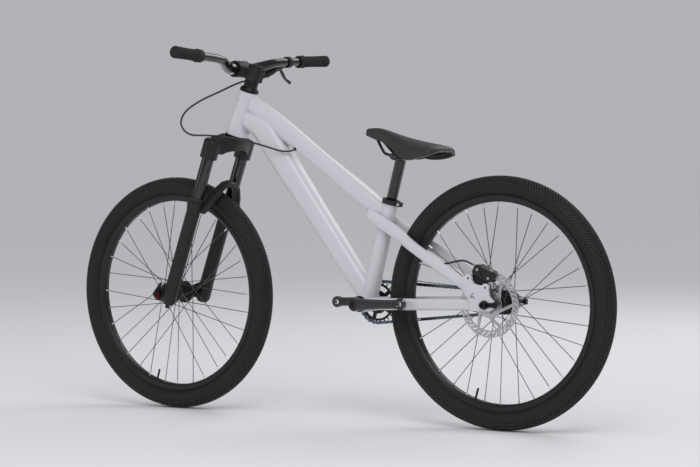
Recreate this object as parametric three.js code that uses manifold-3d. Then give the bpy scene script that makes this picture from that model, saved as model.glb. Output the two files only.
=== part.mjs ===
// Dirt jump bike: welded aluminium frame, short travel fork, one gear and a disc brake on the rear wheel.
// Millimetres, +X forward, +Y to the rider's left, +Z up. The origin is on the ground, midway between
// the axles.

import * as THREE from 'three';
import { mergeVertices } from 'three/addons/utils/BufferGeometryUtils.js';
import Module from 'manifold-3d';

const wasm = await Module();
wasm.setup();

// Clearances, and how far a cutting solid runs past what it cuts.
const seam = 0.3;
const overrun = 6;

// Facet counts of round forms.
const wheelFacets = 32;
const roundFacets = 12;
const fineFacets = 10;
const slimFacets = 8;

// Main geometry of the bike.
const wheelBase = 985;
const tyreRadius = 305.5;
const tyreWidth = 54;
const bracketHeight = 295;
const chainstayLength = 379;
const headAngle = THREE.MathUtils.degToRad(70);
const seatAngle = THREE.MathUtils.degToRad(74.2);
const headTubeTop = new THREE.Vector2(248.3, 830.3);
const rotorPlane = 51.2;
const chainLine = 45;

// Places that follow from the main geometry.
const rearAxle = new THREE.Vector3(-wheelBase / 2, 0, tyreRadius);
const bracketRise = bracketHeight - tyreRadius;
const bracketReach = Math.sqrt(chainstayLength ** 2 - bracketRise ** 2);
const bracket = new THREE.Vector3(rearAxle.x + bracketReach, 0, bracketHeight);
const seatDirection = new THREE.Vector3(-Math.cos(seatAngle), 0, Math.sin(seatAngle));
const headLean = headAngle - Math.PI / 2;

// Head tube and headset.
const headTube = {
  length: 117,
  topRadius: 24.7,
  bottomRadius: 31,
  upperSeatRadius: 21,
  lowerSeatRadius: 27,
  seatDepth: 14,
  boreTop: 19.3,
  boreBottom: 24.5,
};
const upperCup = { lip: 4, insert: 11, radius: 25, edge: 1.2 };
const lowerCup = { lip: 5, insert: 11, radius: 31, edge: 1.5, bore: 21.4 };

// Seat tube, collar and bottom bracket shell.
const seatTube = { length: 256.5, bottomRadius: 21.7, topRadius: 19, boreFloor: 30 };
const collar = { height: 11, radius: 22.5, slit: 2, earReach: 8, earWidth: 14, boltRadius: 3.2 };
const shell = { radius: 21.5, bore: 17.5, width: 73, chamfer: 1 };
const bracketCup = { flange: 6.6, flangeRadius: 20.4, collarRadius: 15, insert: 9, edge: 1 };

// Hydroformed tubes. A row holds shares: along the line from start to end, rise off the line by its length,
// offset to the side, width and height.
const topTube = {
  start: new THREE.Vector2(255.8, 809.6),
  end: new THREE.Vector2(-173, 511),
  width: 38,
  height: 47,
  offset: 0,
  corner: 11,
  rowShares: [
    [0, 0, 0, 0.9, 0.9],
    [0.118, 0.006, 0, 0.95, 1],
    [0.546, 0.0065, 0, 0.95, 0.96],
    [0.942, 0.0063, 0, 1, 0.87],
    [1, 0.006, 0, 0.74, 0.8],
  ],
};
const downTube = {
  start: new THREE.Vector2(-116.6, 313),
  end: new THREE.Vector2(268, 766),
  width: 52,
  height: 65,
  offset: 0,
  corner: 14,
  rowShares: [
    [0, 0, 0, 0.74, 0.77],
    [0.086, 0.0054, 0, 0.85, 0.82],
    [0.438, 0.0262, 0, 0.96, 0.88],
    [0.8025, 0.0477, 0, 1, 1],
    [0.8876, 0.0527, 0, 0.94, 1],
    [1, 0, 0, 0.77, 0.8],
  ],
};
const chainstay = {
  start: new THREE.Vector2(-118, 294.5),
  end: new THREE.Vector2(-475, 305),
  width: 17,
  height: 30,
  offset: 66,
  corner: 5,
  rowShares: [
    [0, 0, 0.318, 0.94, 0.96],
    [0.048, 0, 0.333, 1, 1],
    [0.16, 0, 0.439, 1, 1],
    [0.272, 0, 0.606, 1, 0.97],
    [0.398, 0, 0.712, 0.94, 0.95],
    [0.622, 0, 0.848, 0.88, 0.93],
    [0.824, 0, 0.939, 0.83, 0.93],
    [1, 0, 1, 0.82, 0.9],
  ],
};
const seatstay = {
  start: new THREE.Vector2(-130, 521),
  end: new THREE.Vector2(-449, 338),
  width: 14,
  height: 32,
  offset: 64,
  corner: 4.5,
  rowShares: [
    [0, 0, 0.313, 0.57, 0.75],
    [0.12, 0, 0.375, 1, 1],
    [0.236, 0, 0.406, 1, 0.97],
    [0.347, 0, 0.516, 1, 0.92],
    [0.417, 0, 0.625, 1, 0.88],
    [0.662, 0, 0.781, 0.95, 0.84],
    [0.918, 0, 0.938, 0.93, 0.75],
    [1, 0, 1, 0.93, 0.75],
  ],
};

// Dropout plates. The outline is measured from the rear axle, in shares of the reach forward and the rise.
const dropout = {
  inner: 67.8,
  thickness: 8,
  slotHeight: 10.8,
  slotDepth: 7,
  reach: 62,
  rise: 70,
  outlineShares: [
    [-0.387, -0.114],
    [-0.226, -0.214],
    [0.645, -0.214],
    [0.742, 0.2],
    [0.935, 0.429],
    [1, 0.743],
    [0.95, 0.94],
    [0.785, 1],
    [0.613, 0.886],
    [0.484, 0.714],
    [0.194, 0.657],
    [0.039, 0.671],
    [-0.121, 0.6],
    [-0.194, 0.286],
    [-0.387, 0.129],
  ],
  plainShares: [
    [-0.387, -0.114],
    [-0.226, -0.214],
    [0.645, -0.214],
    [0.742, 0.2],
    [0.935, 0.429],
    [0.97, 0.66],
    [0.8, 0.75],
    [0.5, 0.6],
    [0.2, 0.43],
    [-0.1, 0.34],
    [-0.387, 0.129],
  ],
  windowShares: [
    [0.42, 0.2],
    [0.68, 0.23],
    [0.5, 0.42],
  ],
};
const brakeTabs = {
  reach: -1.5,
  rise: 41.2,
  spacing: 51,
  lean: THREE.MathUtils.degToRad(24.6),
  lobe: 9.5,
  hole: 3.3,
};
const tensioner = { plate: 3.5, ring: 11, bar: 4.5, reach: 31, cap: 5, capHalf: 7, screw: 2.4, screwGap: 1 };
const rearBolt = { radius: 5, head: 9, headLength: 8, socket: 4, socketDepth: 5 };

// Fork. Heights are measured along the steering axis, down from the top of the head tube.
const fork = { spread: 72, lead: 16.7, axleDrop: 576.7, axleLead: 50 };
const steerer = { radius: 14.3, top: 63, taperStart: 72, baseRadius: 19.9, raceRadius: 26, bore: 11.5 };
const crown = {
  height: 64.4,
  legDrop: 14,
  legRadius: 22.5,
  legEdge: 5,
  depth: 48,
  frontShares: [
    [0, 0],
    [0.36, 0],
    [0.9, -0.22],
    [1, -0.25],
    [1, -0.72],
    [0.74, -0.72],
    [0.62, -0.62],
    [0.42, -0.53],
    [0.2, -0.485],
    [0, -0.475],
  ],
  planShares: [
    [0.5, 0],
    [0.54, 0.3],
    [0.7, 0.8],
    [0.7, 1],
    [-0.08, 1],
    [-0.2, 0.75],
    [-0.46, 0.35],
    [-0.5, 0],
  ],
};
const stanchion = { radius: 16, top: 141, bottom: 450 };
const seal = { height: 7.7, radius: 20, edge: 1.5 };
const lowers = {
  top: 305,
  boreEnd: 537,
  foot: 592,
  collarRadius: 21.5,
  collarLength: 12,
  shoulder: 18,
  legRadius: 18.2,
  footRadius: 19.5,
  footLength: 52,
  soleRadius: 14,
  soleLength: 10,
  bossRadius: 15,
  bossInner: 50.3,
  bossOuter: 82,
  webHalf: 10,
  webRise: 46,
};
const arch = {
  root: 326,
  crest: 245,
  back: 18,
  depth: 24,
  thickness: 14,
  corner: 4,
  rowShares: [
    [0.95, 0.1, -0.05],
    [0.86, 0.75, 0.17],
    [0.71, 0.9, 0.49],
    [0.51, 1, 0.79],
    [0.278, 1, 0.951],
    [0, 1, 1],
  ],
};
const frontAxle = { radius: 7.4, head: 10.5, headLength: 8.5, headGap: 2, bore: 4.5, boreDepth: 40 };
const axleLever = {
  length: 38, width: 10, tipWidth: 7.5, thickness: 7, tipThickness: 4, lean: 16, pivotGap: 4,
};
const reboundKnob = { radius: 5.6, length: 10.5, groove: 1, grooves: 8 };

// Stem, bar, grips and brake lever.
const cover = { radius: 24.6, height: 9, spacerRadius: 18, stackHeight: 26.4 };
const stem = {
  height: 36,
  radius: 18.5,
  reach: 48,
  clampDrop: 3.5,
  clampRadius: 22,
  halfWidth: 23,
  neckHalf: 15,
  neckHeight: 26,
  slit: 1.6,
  earReach: 26,
  earHalf: 8,
  window: 12,
  windowHalf: 9,
};
const cap = { height: 4, radius: 17.6, edge: 1.2, recess: 9, recessDepth: 1.6 };
const bar = {
  half: 321,
  clampRadius: 15.9,
  gripRadius: 11.1,
  flatHalf: 46,
  bendHalf: 118,
  gripHalf: 212,
  bendSweep: 31,
  gripSweep: 36,
  endSweep: 46.5,
  bendRise: 19.5,
  gripRise: 24.5,
  endRise: 29.5,
  clampShare: 0.6,
  bendShares: [0.12, 0.5, 0.84],
  innerShare: 0.2,
};
const grip = { radius: 15.2, waist: 14.4, flange: 17, flangeLength: 4, ring: 16.5, ringLength: 13, cap: 5 };
const lever = {
  clamp: 167,
  clampLength: 13,
  clampRadius: 15.5,
  pullLean: THREE.MathUtils.degToRad(50.5),
  pivotLead: 17.8,
  pivotDrop: 14.6,
  pivotInset: 17,
  reservoirRadius: 10.5,
  bodyReach: 52,
  bodyDrop: 35,
  earHalf: 6.3,
  slotHalf: 3.3,
  pinRadius: 2,
  bladeReach: 88,
  bladeDrop: 43,
  bladeHeight: 11,
  bladeThickness: 6,
  eyeRadius: 6,
  link: 20,
  linkShares: [
    [0.4, -1],
    [1, -0.7],
    [0.35, 0.2],
    [-0.2, 0.35],
    [-0.8, 0.7],
    [-1, 0.2],
    [-0.3, -0.4],
  ],
  bladeShares: [
    [0, 0, 1.2],
    [0.2, 0.19, 1.1],
    [0.51, 0.6, 0.9],
    [0.8, 0.89, 0.85],
    [1, 1, 0.9],
  ],
  bodyShares: [
    [0.22, 0.15, 0.75],
    [0.32, 0.25, 1],
    [0.7, 0.65, 1],
    [0.78, 0.75, 0.72],
    [1, 1, 0.57],
  ],
};

// Wheels. The tyre outline is given as shares of its depth from the bead seat and of its half width.
const rim = {
  beadRadius: 253.5,
  flangeRadius: 259,
  innerRadius: 243,
  width: 28,
  flange: 1.4,
  shoulder: 250,
  floorHalf: 9,
};
const tyreShares = [
  [0, 0.455],
  [0.12, 0.455],
  [0.49, 1],
  [0.8, 0.86],
  [1, 0.34],
];
const spokes = {
  perSide: 16,
  facets: 3,
  size: 1.8,
  cross: THREE.MathUtils.degToRad(67.5),
  holeInset: 2,
  lift: 1.3,
  rimHalf: 4,
};
const hub = { flangeThickness: 4.6, barrelRadius: 11, endRadius: 10 };
const frontHub = {
  left: 50,
  right: -50,
  leftFlange: 24,
  rightFlange: -32,
  flangeRadius: 29,
  discRadius: 27,
  disc: 40,
};
const rearHub = {
  left: 67.5,
  right: -36,
  leftFlange: 32,
  rightFlange: -22,
  flangeRadius: 29,
  discRadius: 29,
  disc: 48,
};
const rotor = {
  radius: 80,
  wave: 1.6,
  waves: 12,
  thickness: 1.8,
  ringInner: 62,
  carrierOuter: 30,
  bore: 17.5,
  arms: 6,
  armHalf: 3.4,
  outerSteps: 5,
  innerSteps: 2,
  slots: 12,
  slotInner: 66,
  slotOuter: 76,
  slotHalf: 1.3,
  slotLean: 0.1,
  armLean: 0.5,
};

// Drive. Crank rows hold shares: along the arm, outward from its root to its end, then of its thickness and
// height.
const chainPitch = 12.7;
const ringTeeth = 26;
const cogTeeth = 12;
const ringRadius = chainPitch / 2 / Math.sin(Math.PI / ringTeeth);
const cogRadius = chainPitch / 2 / Math.sin(Math.PI / cogTeeth);
const teeth = { thickness: 2.2, root: 1.65, tip: 0.7, rise: 1.9, seat: 5.35 };
const chain = {
  halfHeight: 4.2,
  outerHalf: 4.2,
  innerHalf: 3.2,
  windowLength: 4.95,
  windowWidth: 3.3,
  ringCorners: 8,
};
const ringBoss = { radius: 25, arms: 5, ringWall: 5.5, armHalf: 5, waist: 30, outerSteps: 4, innerSteps: 2 };
const freehub = { radius: 17, inner: 36.4, outer: 67.4 };
const spindle = { radius: 11.5, half: 62 };
const crank = {
  length: 145,
  lean: THREE.MathUtils.degToRad(2.2),
  bossRadius: 17,
  bossInner: 50,
  bossOuter: 66,
  eyeRadius: 14,
  eyeInner: 72,
  eyeOuter: 86,
  pedalBore: 7,
  rootHeight: 31,
  corner: 4,
  rowShares: [
    [0, 0, 1, 1],
    [0.28, 0.38, 0.82, 0.85],
    [0.62, 0.75, 0.76, 0.72],
    [0.86, 0.97, 0.8, 0.7],
    [1, 1, 0.85, 0.75],
  ],
};

// Rear brake.
const caliper = {
  halfLength: 27,
  halfHeight: 14,
  rise: 24,
  inner: 35,
  outer: 66,
  chamfer: 6,
  waist: 4,
  portRadius: 9,
  portDepth: 1.5,
  rotorGap: 1.2,
};
const pad = {
  radius: 71.5,
  turn: THREE.MathUtils.degToRad(6),
  length: 22,
  height: 16,
  thickness: 3.5,
  gap: 0.6,
  corner: 3,
};
const bracketPlate = { inner: 60.5, outer: 67.5, half: 9.6 };

// Saddle and seatpost. Saddle rows hold shares: along it from the nose, then of its height for the top and
// the underside, then of its half width.
const seatpost = {
  radius: 13.6, bottom: 120, top: 367, neck: 12, headLength: 38, headHalf: 27, headHeight: 11,
};
const saddleTilt = THREE.MathUtils.degToRad(10);
const rail = {
  radius: 3.5,
  half: 22,
  flat: 34,
  rearHalf: 35,
  rearReach: 102,
  rearRise: 23.3,
  noseHalf: 9,
  noseReach: 74,
  noseRise: 31,
};
const railClamp = { length: 30, height: 8 };
const saddle = {
  nose: -118,
  floor: 650,
  length: 227,
  height: 80,
  half: 66,
  wall: 5,
  ceiling: 17,
  hollowStart: 0.07,
  hollowEnd: 0.955,
  rowShares: [
    [0, 0.925, 0.8, 0.12],
    [0.035, 0.975, 0.775, 0.26],
    [0.119, 1, 0.675, 0.31],
    [0.251, 0.925, 0.55, 0.34],
    [0.383, 0.8, 0.35, 0.45],
    [0.515, 0.6875, 0.125, 0.68],
    [0.634, 0.6, 0, 0.88],
    [0.78, 0.5125, 0.0125, 1],
    [0.89, 0.45, 0.075, 0.99],
    [0.969, 0.3875, 0.15, 0.79],
    [1, 0.33, 0.225, 0.45],
  ],
  sectionShares: [
    [0.9, 0],
    [1, 0.25],
    [0.94, 0.62],
    [0.72, 0.88],
    [0.36, 0.98],
    [0, 1],
  ],
  hollowShares: [
    [1, 0],
    [1, 0.5],
    [0.6, 1],
  ],
};

// Brake hose: one run from the lever to the top tube, one from the left seatstay to the caliper.
const hoseDiameter = 5;
const hoseFacets = 8;
const hoseRoute = [
  [284.5, -97.6, 869.8],
  [288, -90.5, 865.7],
  [310, -55, 859.5],
  [355, -15, 833.5],
  [399, 15, 808.5],
  [426, 36, 784],
  [434, 46, 764],
  [433, 50, 751],
  [420, 54, 733.5],
  [395, 57, 721.5],
  [350, 60, 719],
  [300, 62, 716],
  [240, 61, 708],
  [188.6, 54, 696],
  [156, 44, 686],
  [124, 33, 676],
  [102, 22, 676],
];
const rearHoseRoute = [
  [-352, 41.5, 397],
  [-375, 40, 401.5],
  [-398, 41.5, 406],
  [-420, 46, 408],
  [-440, 50, 402.2],
  [-457.2, 50, 394.3],
];

// Turns a closed geometry into a solid whose faces point outward.
function toSolid(geometry) {
  let merged = geometry;
  if (geometry.attributes.normal) {
    const bare = geometry.clone();
    bare.deleteAttribute('normal');
    bare.deleteAttribute('uv');
    merged = mergeVertices(bare);
  }
  const positions = merged.attributes.position.array;
  const index = merged.index.array;
  const triangles = [];
  for (let i = 0; i < index.length; i += 3) {
    const [a, b, c] = [index[i], index[i + 1], index[i + 2]];
    if (a !== b && b !== c && c !== a) triangles.push(a, b, c);
  }
  if (signedVolume(positions, triangles) < 0) triangles.reverse();
  return new wasm.Manifold(new wasm.Mesh({
    numProp: 3,
    vertProperties: new Float32Array(positions),
    triVerts: new Uint32Array(triangles),
  }));
}

function signedVolume(positions, triangles) {
  let sum = 0;
  for (let i = 0; i < triangles.length; i += 3) {
    const corners = [triangles[i], triangles[i + 1], triangles[i + 2]];
    const [a, b, c] = corners.map((corner) => new THREE.Vector3().fromArray(positions, corner * 3));
    sum += a.dot(b.cross(c));
  }
  return sum;
}

function toGeometry(solid) {
  const mesh = solid.getMesh();
  const geometry = new THREE.BufferGeometry();
  geometry.setAttribute('position', new THREE.BufferAttribute(new Float32Array(mesh.vertProperties), 3));
  geometry.setIndex(Array.from(mesh.triVerts));
  return geometry;
}

function join(first, ...others) {
  const whole = others.reduce((solid, other) => solid.add(toSolid(other)), toSolid(first));
  return toGeometry(whole);
}

function cut(first, ...cutters) {
  const rest = cutters.reduce((solid, cutter) => solid.subtract(toSolid(cutter)), toSolid(first));
  return toGeometry(rest);
}

function overlap(first, second) {
  return toGeometry(toSolid(first).intersect(toSolid(second)));
}

// Radius of a faceted bore whose flats clear a faceted rod of the given radius.
function boreFor(radius, facets = roundFacets, clearance = seam) {
  return (radius + clearance) / Math.cos(Math.PI / facets);
}

// A solid turned about the Y axis. The outline holds [radius, place along Y] and starts and ends on the
// axis, or goes round a ring.
function turned(outline, facets = roundFacets) {
  const points = outline.map(([radius, along]) => new THREE.Vector2(radius, along));
  if (outline[0][0] > 0) points.push(points[0].clone());
  return new THREE.LatheGeometry(points, facets);
}

// The same, turned about the Z axis.
function turnedUp(outline, facets = roundFacets) {
  return turned(outline, facets).rotateX(Math.PI / 2);
}

function rod(radius, from, to, facets = roundFacets) {
  return turned([[0, from], [radius, from], [radius, to], [0, to]], facets);
}

function rodUp(radius, from, to, facets = roundFacets) {
  return rod(radius, from, to, facets).rotateX(Math.PI / 2);
}

function extruded(points, depth, holes = []) {
  const shape = new THREE.Shape(points.map(([x, y]) => new THREE.Vector2(x, y)));
  for (const hole of holes) shape.holes.push(new THREE.Path(hole.map(([x, y]) => new THREE.Vector2(x, y))));
  return new THREE.ExtrudeGeometry(shape, { depth, bevelEnabled: false, curveSegments: 1 });
}

// A plate in the XZ plane, between two places along Y.
function plate(points, from, to, holes = []) {
  return extruded(points, to - from, holes).rotateX(Math.PI / 2).translate(0, to, 0);
}

// A plate in the XY plane, between two heights.
function slab(points, from, to) {
  return extruded(points, to - from).translate(0, 0, from);
}

// A plate in the YZ plane, between two places along X.
function wall(points, from, to) {
  const turn = new THREE.Matrix4().makeBasis(
    new THREE.Vector3(0, 1, 0),
    new THREE.Vector3(0, 0, 1),
    new THREE.Vector3(1, 0, 0),
  );
  return extruded(points, to - from).applyMatrix4(turn).translate(from, 0, 0);
}

function rectangle(left, right, bottom, top) {
  return [[left, bottom], [right, bottom], [right, top], [left, top]];
}

function block(left, right, back, front, bottom, top) {
  return plate(rectangle(left, right, bottom, top), back, front);
}

// Corners of a regular outline round a point, starting straight along its first axis.
function circle(x, y, radius, count, start = 0) {
  return Array.from({ length: count }, (_, i) => {
    const angle = start + (i / count) * 2 * Math.PI;
    return [x + radius * Math.cos(angle), y + radius * Math.sin(angle)];
  });
}

// An arc of points between two angles, both included.
function arc(x, y, radius, from, to, steps) {
  return Array.from({ length: steps + 1 }, (_, i) => {
    const angle = from + ((to - from) * i) / steps;
    return [x + radius * Math.cos(angle), y + radius * Math.sin(angle)];
  });
}

// A closed skin through rings of equally many points, with a flat cap on the first and the last.
function loft(rings) {
  const count = rings[0].length;
  const geometry = new THREE.BufferGeometry();
  const places = rings.flat().flatMap((point) => point.toArray());
  geometry.setAttribute('position', new THREE.Float32BufferAttribute(places, 3));
  const index = [];
  for (let i = 0; i < rings.length - 1; i += 1) {
    for (let j = 0; j < count; j += 1) {
      const next = (j + 1) % count;
      const [a, b] = [i * count + j, i * count + next];
      const [c, d] = [(i + 1) * count + next, (i + 1) * count + j];
      index.push(a, b, c, a, c, d);
    }
  }
  const last = (rings.length - 1) * count;
  for (let j = 1; j < count - 1; j += 1) {
    index.push(0, j + 1, j);
    index.push(last, last + j, last + j + 1);
  }
  geometry.setIndex(index);
  return geometry;
}

// Eight points of a rectangle with its corners cut off, in the plane of the side and up directions.
function chamferedRing(centre, side, up, width, height, corner) {
  const [w, h] = [width / 2, height / 2];
  const places = [
    [w - corner, -h],
    [w, corner - h],
    [w, h - corner],
    [w - corner, h],
    [corner - w, h],
    [-w, h - corner],
    [-w, corner - h],
    [corner - w, -h],
  ];
  return places.map(([x, y]) => centre.clone().addScaledVector(side, x).addScaledVector(up, y));
}

// An outline moved outward by a distance, corner by corner. It runs anticlockwise.
function grown(points, distance) {
  const count = points.length;
  return points.map((point, i) => {
    const [x, y] = point;
    const [x0, y0] = points[(i + count - 1) % count];
    const [x1, y1] = points[(i + 1) % count];
    const [before, after] = [Math.hypot(x - x0, y - y0), Math.hypot(x1 - x, y1 - y)];
    const [ax, ay] = [(y - y0) / before, (x0 - x) / before];
    const [bx, by] = [(y1 - y) / after, (x - x1) / after];
    const reach = distance / (1 + ax * bx + ay * by);
    return [x + (ax + bx) * reach, y + (ay + by) * reach];
  });
}

function direction(points, i) {
  const before = points[Math.max(i - 1, 0)];
  const after = points[Math.min(i + 1, points.length - 1)];
  return after.clone().sub(before).normalize();
}

// A rod of changing radius through the given points, each ring square to the run there.
function bentRod(points, radii, facets, reference) {
  const rings = points.map((point, i) => {
    const run = direction(points, i);
    const side = reference.clone().cross(run).normalize();
    const up = run.clone().cross(side);
    return circle(0, 0, radii[i], facets).map(([x, y]) => (
      point.clone().addScaledVector(side, x).addScaledVector(up, y)
    ));
  });
  return loft(rings);
}

function shape(points, scaleX, scaleY) {
  return points.map(([x, y]) => [x * scaleX, y * scaleY]);
}

// Places a form that stands on the Z axis on a leaning axis in the middle plane.
function onAxis(geometry, foot, lean) {
  return geometry.rotateY(lean).translate(foot.x, 0, foot.z);
}

const headFoot = new THREE.Vector3(headTubeTop.x, 0, headTubeTop.y);
const seatLean = seatAngle - Math.PI / 2;

// Frame.
function headProfile(grow) {
  return [
    [headTube.topRadius + grow, 0],
    [headTube.bottomRadius + grow, headTube.seatDepth - headTube.length],
    [headTube.bottomRadius + grow, -headTube.length],
  ];
}

function headEnvelope() {
  const outline = headProfile(seam);
  const above = [headTube.topRadius + seam, overrun];
  const below = [headTube.bottomRadius + seam, -headTube.length - overrun];
  const solid = turnedUp([[0, above[1]], above, ...outline, below, [0, below[1]]]);
  return onAxis(solid, headFoot, headLean);
}

function headTubeForm() {
  const bore = [
    [headTube.lowerSeatRadius, -headTube.length],
    [headTube.lowerSeatRadius, headTube.seatDepth - headTube.length],
    [headTube.boreBottom, headTube.seatDepth - headTube.length],
    [headTube.boreTop, -headTube.seatDepth],
    [headTube.upperSeatRadius, -headTube.seatDepth],
    [headTube.upperSeatRadius, 0],
  ];
  return onAxis(turnedUp([...headProfile(0), ...bore]), headFoot, headLean);
}

function seatProfile(grow, from, to) {
  return [
    [0, from],
    [seatTube.bottomRadius + grow, from],
    [seatTube.topRadius + grow, to],
    [0, to],
  ];
}

function seatEnvelope() {
  return onAxis(turnedUp(seatProfile(seam, 0, seatTube.length)), bracket, seatLean);
}

function shellEnvelope() {
  const half = shell.width / 2 + overrun;
  return rod(shell.radius + seam, -half, half).translate(bracket.x, 0, bracket.z);
}

function seatTubeForm() {
  const bore = rodUp(boreFor(seatpost.radius), seatTube.boreFloor, seatTube.length + overrun);
  const tube = cut(turnedUp(seatProfile(0, 0, seatTube.length)), bore);
  return cut(onAxis(tube, bracket, seatLean), shellEnvelope());
}

function shellForm() {
  const half = shell.width / 2;
  return turned([
    [shell.bore, -half],
    [shell.radius - shell.chamfer, -half],
    [shell.radius, shell.chamfer - half],
    [shell.radius, half - shell.chamfer],
    [shell.radius - shell.chamfer, half],
    [shell.bore, half],
  ]).translate(bracket.x, 0, bracket.z);
}

// A formed tube between its two end points, on one side of the bike. A grown copy cuts what meets the tube.
function frameTube(tube, side, grow = 0) {
  const line = tube.end.clone().sub(tube.start);
  const forward = new THREE.Vector3(line.x, 0, line.y).normalize();
  const up = new THREE.Vector3(-forward.z, 0, forward.x);
  const across = new THREE.Vector3(0, 1, 0);
  const rings = tube.rowShares.map(([along, rise, offset, width, height]) => {
    const centre = new THREE.Vector3(tube.start.x, side * offset * tube.offset, tube.start.y);
    centre.addScaledVector(forward, along * line.length());
    centre.addScaledVector(up, Math.sign(up.z) * rise * line.length());
    const [w, h] = [width * tube.width + 2 * grow, height * tube.height + 2 * grow];
    return chamferedRing(centre, across, up, w, h, tube.corner);
  });
  return loft(rings);
}

function topTubeForm() {
  return cut(frameTube(topTube, 0), frameTube(downTube, 0, seam), headEnvelope(), seatEnvelope());
}

function downTubeForm() {
  return cut(frameTube(downTube, 0), headEnvelope(), seatEnvelope(), shellEnvelope());
}

function chainstayForm(side) {
  return cut(frameTube(chainstay, side), shellEnvelope(), seatEnvelope(), stayStop(side));
}

function seatstayForm(side) {
  return cut(frameTube(seatstay, side), seatEnvelope(), frameTube(topTube, 0, seam), stayStop(side));
}

function dropoutOutline(side) {
  const shares = side > 0 ? dropout.outlineShares : dropout.plainShares;
  return shape(shares, dropout.reach, dropout.rise);
}

function tabPlaces() {
  const front = [
    brakeTabs.reach + brakeTabs.spacing * Math.cos(brakeTabs.lean),
    brakeTabs.rise + brakeTabs.spacing * Math.sin(brakeTabs.lean),
  ];
  return [[brakeTabs.reach, brakeTabs.rise], front];
}

// The room that a dropout plate takes out of the stays that meet it.
function stayStop(side) {
  const from = dropout.inner - seam;
  const to = from + 3 * dropout.thickness;
  const [back, front] = side > 0 ? [from, to] : [-to, -from];
  return plate(grown(dropoutOutline(side), seam), back, front).translate(rearAxle.x, 0, rearAxle.z);
}

function dropoutForm(side) {
  const outer = dropout.inner + dropout.thickness;
  const [back, front] = side > 0 ? [dropout.inner, outer] : [-outer, -dropout.inner];
  const window = shape(dropout.windowShares, dropout.reach, dropout.rise);
  let form = plate(dropoutOutline(side), back, front, [window]);
  if (side > 0) {
    for (const [x, z] of tabPlaces()) {
      form = join(form, rod(brakeTabs.lobe, back, front).translate(x, 0, z));
      form = cut(form, rod(brakeTabs.hole, back - overrun, front + overrun, slimFacets).translate(x, 0, z));
    }
  }
  const half = dropout.slotHeight / 2;
  const slot = block(-dropout.reach, dropout.slotDepth, back - overrun, front + overrun, -half, half);
  return cut(form, slot).translate(rearAxle.x, 0, rearAxle.z);
}

// A chain tensioner: a ring under the axle bolt, a bar to the rear, a cap over the slot's end and its screw.
function tensionerForm(side) {
  const start = dropout.inner + dropout.thickness + seam;
  const end = start + tensioner.plate;
  const [back, front] = side > 0 ? [start, end] : [-end, -start];
  const ring = rod(tensioner.ring, back, front);
  const bridge = block(-tensioner.reach, 0, back, front, -tensioner.bar, tensioner.bar);
  const inner = side * (dropout.inner + seam);
  const [capBack, capFront] = [Math.min(inner, side * end), Math.max(inner, side * end)];
  const rear = dropout.reach * dropout.outlineShares[0][0] - seam;
  const capBlock = block(-tensioner.reach, rear, capBack, capFront, -tensioner.capHalf, tensioner.capHalf);
  const middle = side * (dropout.inner + dropout.thickness / 2);
  const screwEnd = -rearBolt.radius - tensioner.screwGap;
  const screw = rod(tensioner.screw, rear - seam, screwEnd, slimFacets).rotateZ(-Math.PI / 2);
  const body = join(ring, bridge, capBlock, screw.translate(0, middle, 0));
  const bore = rod(boreFor(rearBolt.radius), back - overrun, front + overrun);
  return cut(body, bore).translate(rearAxle.x, 0, rearAxle.z);
}

function rearBoltForm() {
  const face = dropout.inner + dropout.thickness + seam + tensioner.plate + seam;
  const end = face + rearBolt.headLength;
  const bolt = turned([
    [0, socketFloor(-end)],
    [rearBolt.socket, socketFloor(-end)],
    [rearBolt.socket, -end],
    [rearBolt.head, -end],
    [rearBolt.head, -face],
    [rearBolt.radius, -face],
    [rearBolt.radius, face],
    [rearBolt.head, face],
    [rearBolt.head, end],
    [rearBolt.socket, end],
    [rearBolt.socket, socketFloor(end)],
    [0, socketFloor(end)],
  ], fineFacets);
  return bolt.translate(rearAxle.x, 0, rearAxle.z);
}

function socketFloor(end) {
  return end - Math.sign(end) * rearBolt.socketDepth;
}

function upperCupForm() {
  const bore = boreFor(steerer.radius);
  const top = seam + upperCup.lip;
  const seat = headTube.upperSeatRadius - seam;
  const cup = turnedUp([
    [bore, -upperCup.insert],
    [seat, -upperCup.insert],
    [seat, seam],
    [upperCup.radius, seam],
    [upperCup.radius, top - upperCup.edge],
    [upperCup.radius - upperCup.edge, top],
    [bore, top],
  ]);
  return onAxis(cup, headFoot, headLean);
}

function lowerCupForm() {
  const foot = -headTube.length - seam;
  const low = foot - lowerCup.lip;
  const seat = headTube.lowerSeatRadius - seam;
  const cup = turnedUp([
    [lowerCup.bore, foot + lowerCup.insert],
    [seat, foot + lowerCup.insert],
    [seat, foot],
    [lowerCup.radius, foot],
    [lowerCup.radius, low + lowerCup.edge],
    [lowerCup.radius - lowerCup.edge, low],
    [lowerCup.bore, low],
  ]);
  return onAxis(cup, headFoot, headLean);
}

function collarForm() {
  const foot = seatTube.length + seam;
  const top = foot + collar.height;
  const bore = boreFor(seatpost.radius);
  const far = collar.radius + collar.earReach;
  const ring = rodUp(collar.radius, foot, top);
  const ears = slab(rectangle(-far, -bore, -collar.earWidth / 2, collar.earWidth / 2), foot, top);
  const slitHalf = collar.slit / 2;
  const slit = slab(rectangle(-far - overrun, 0, -slitHalf, slitHalf), foot - overrun, top + overrun);
  const hole = rodUp(bore, foot - overrun, top + overrun);
  const boltX = -collar.radius - collar.earReach / 2;
  const boltHalf = collar.earWidth / 2 + collar.slit;
  const bolt = rod(collar.boltRadius, -boltHalf, boltHalf, slimFacets);
  const form = join(cut(join(ring, ears), slit, hole), bolt.translate(boltX, 0, (foot + top) / 2));
  return onAxis(form, bracket, seatLean);
}

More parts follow.
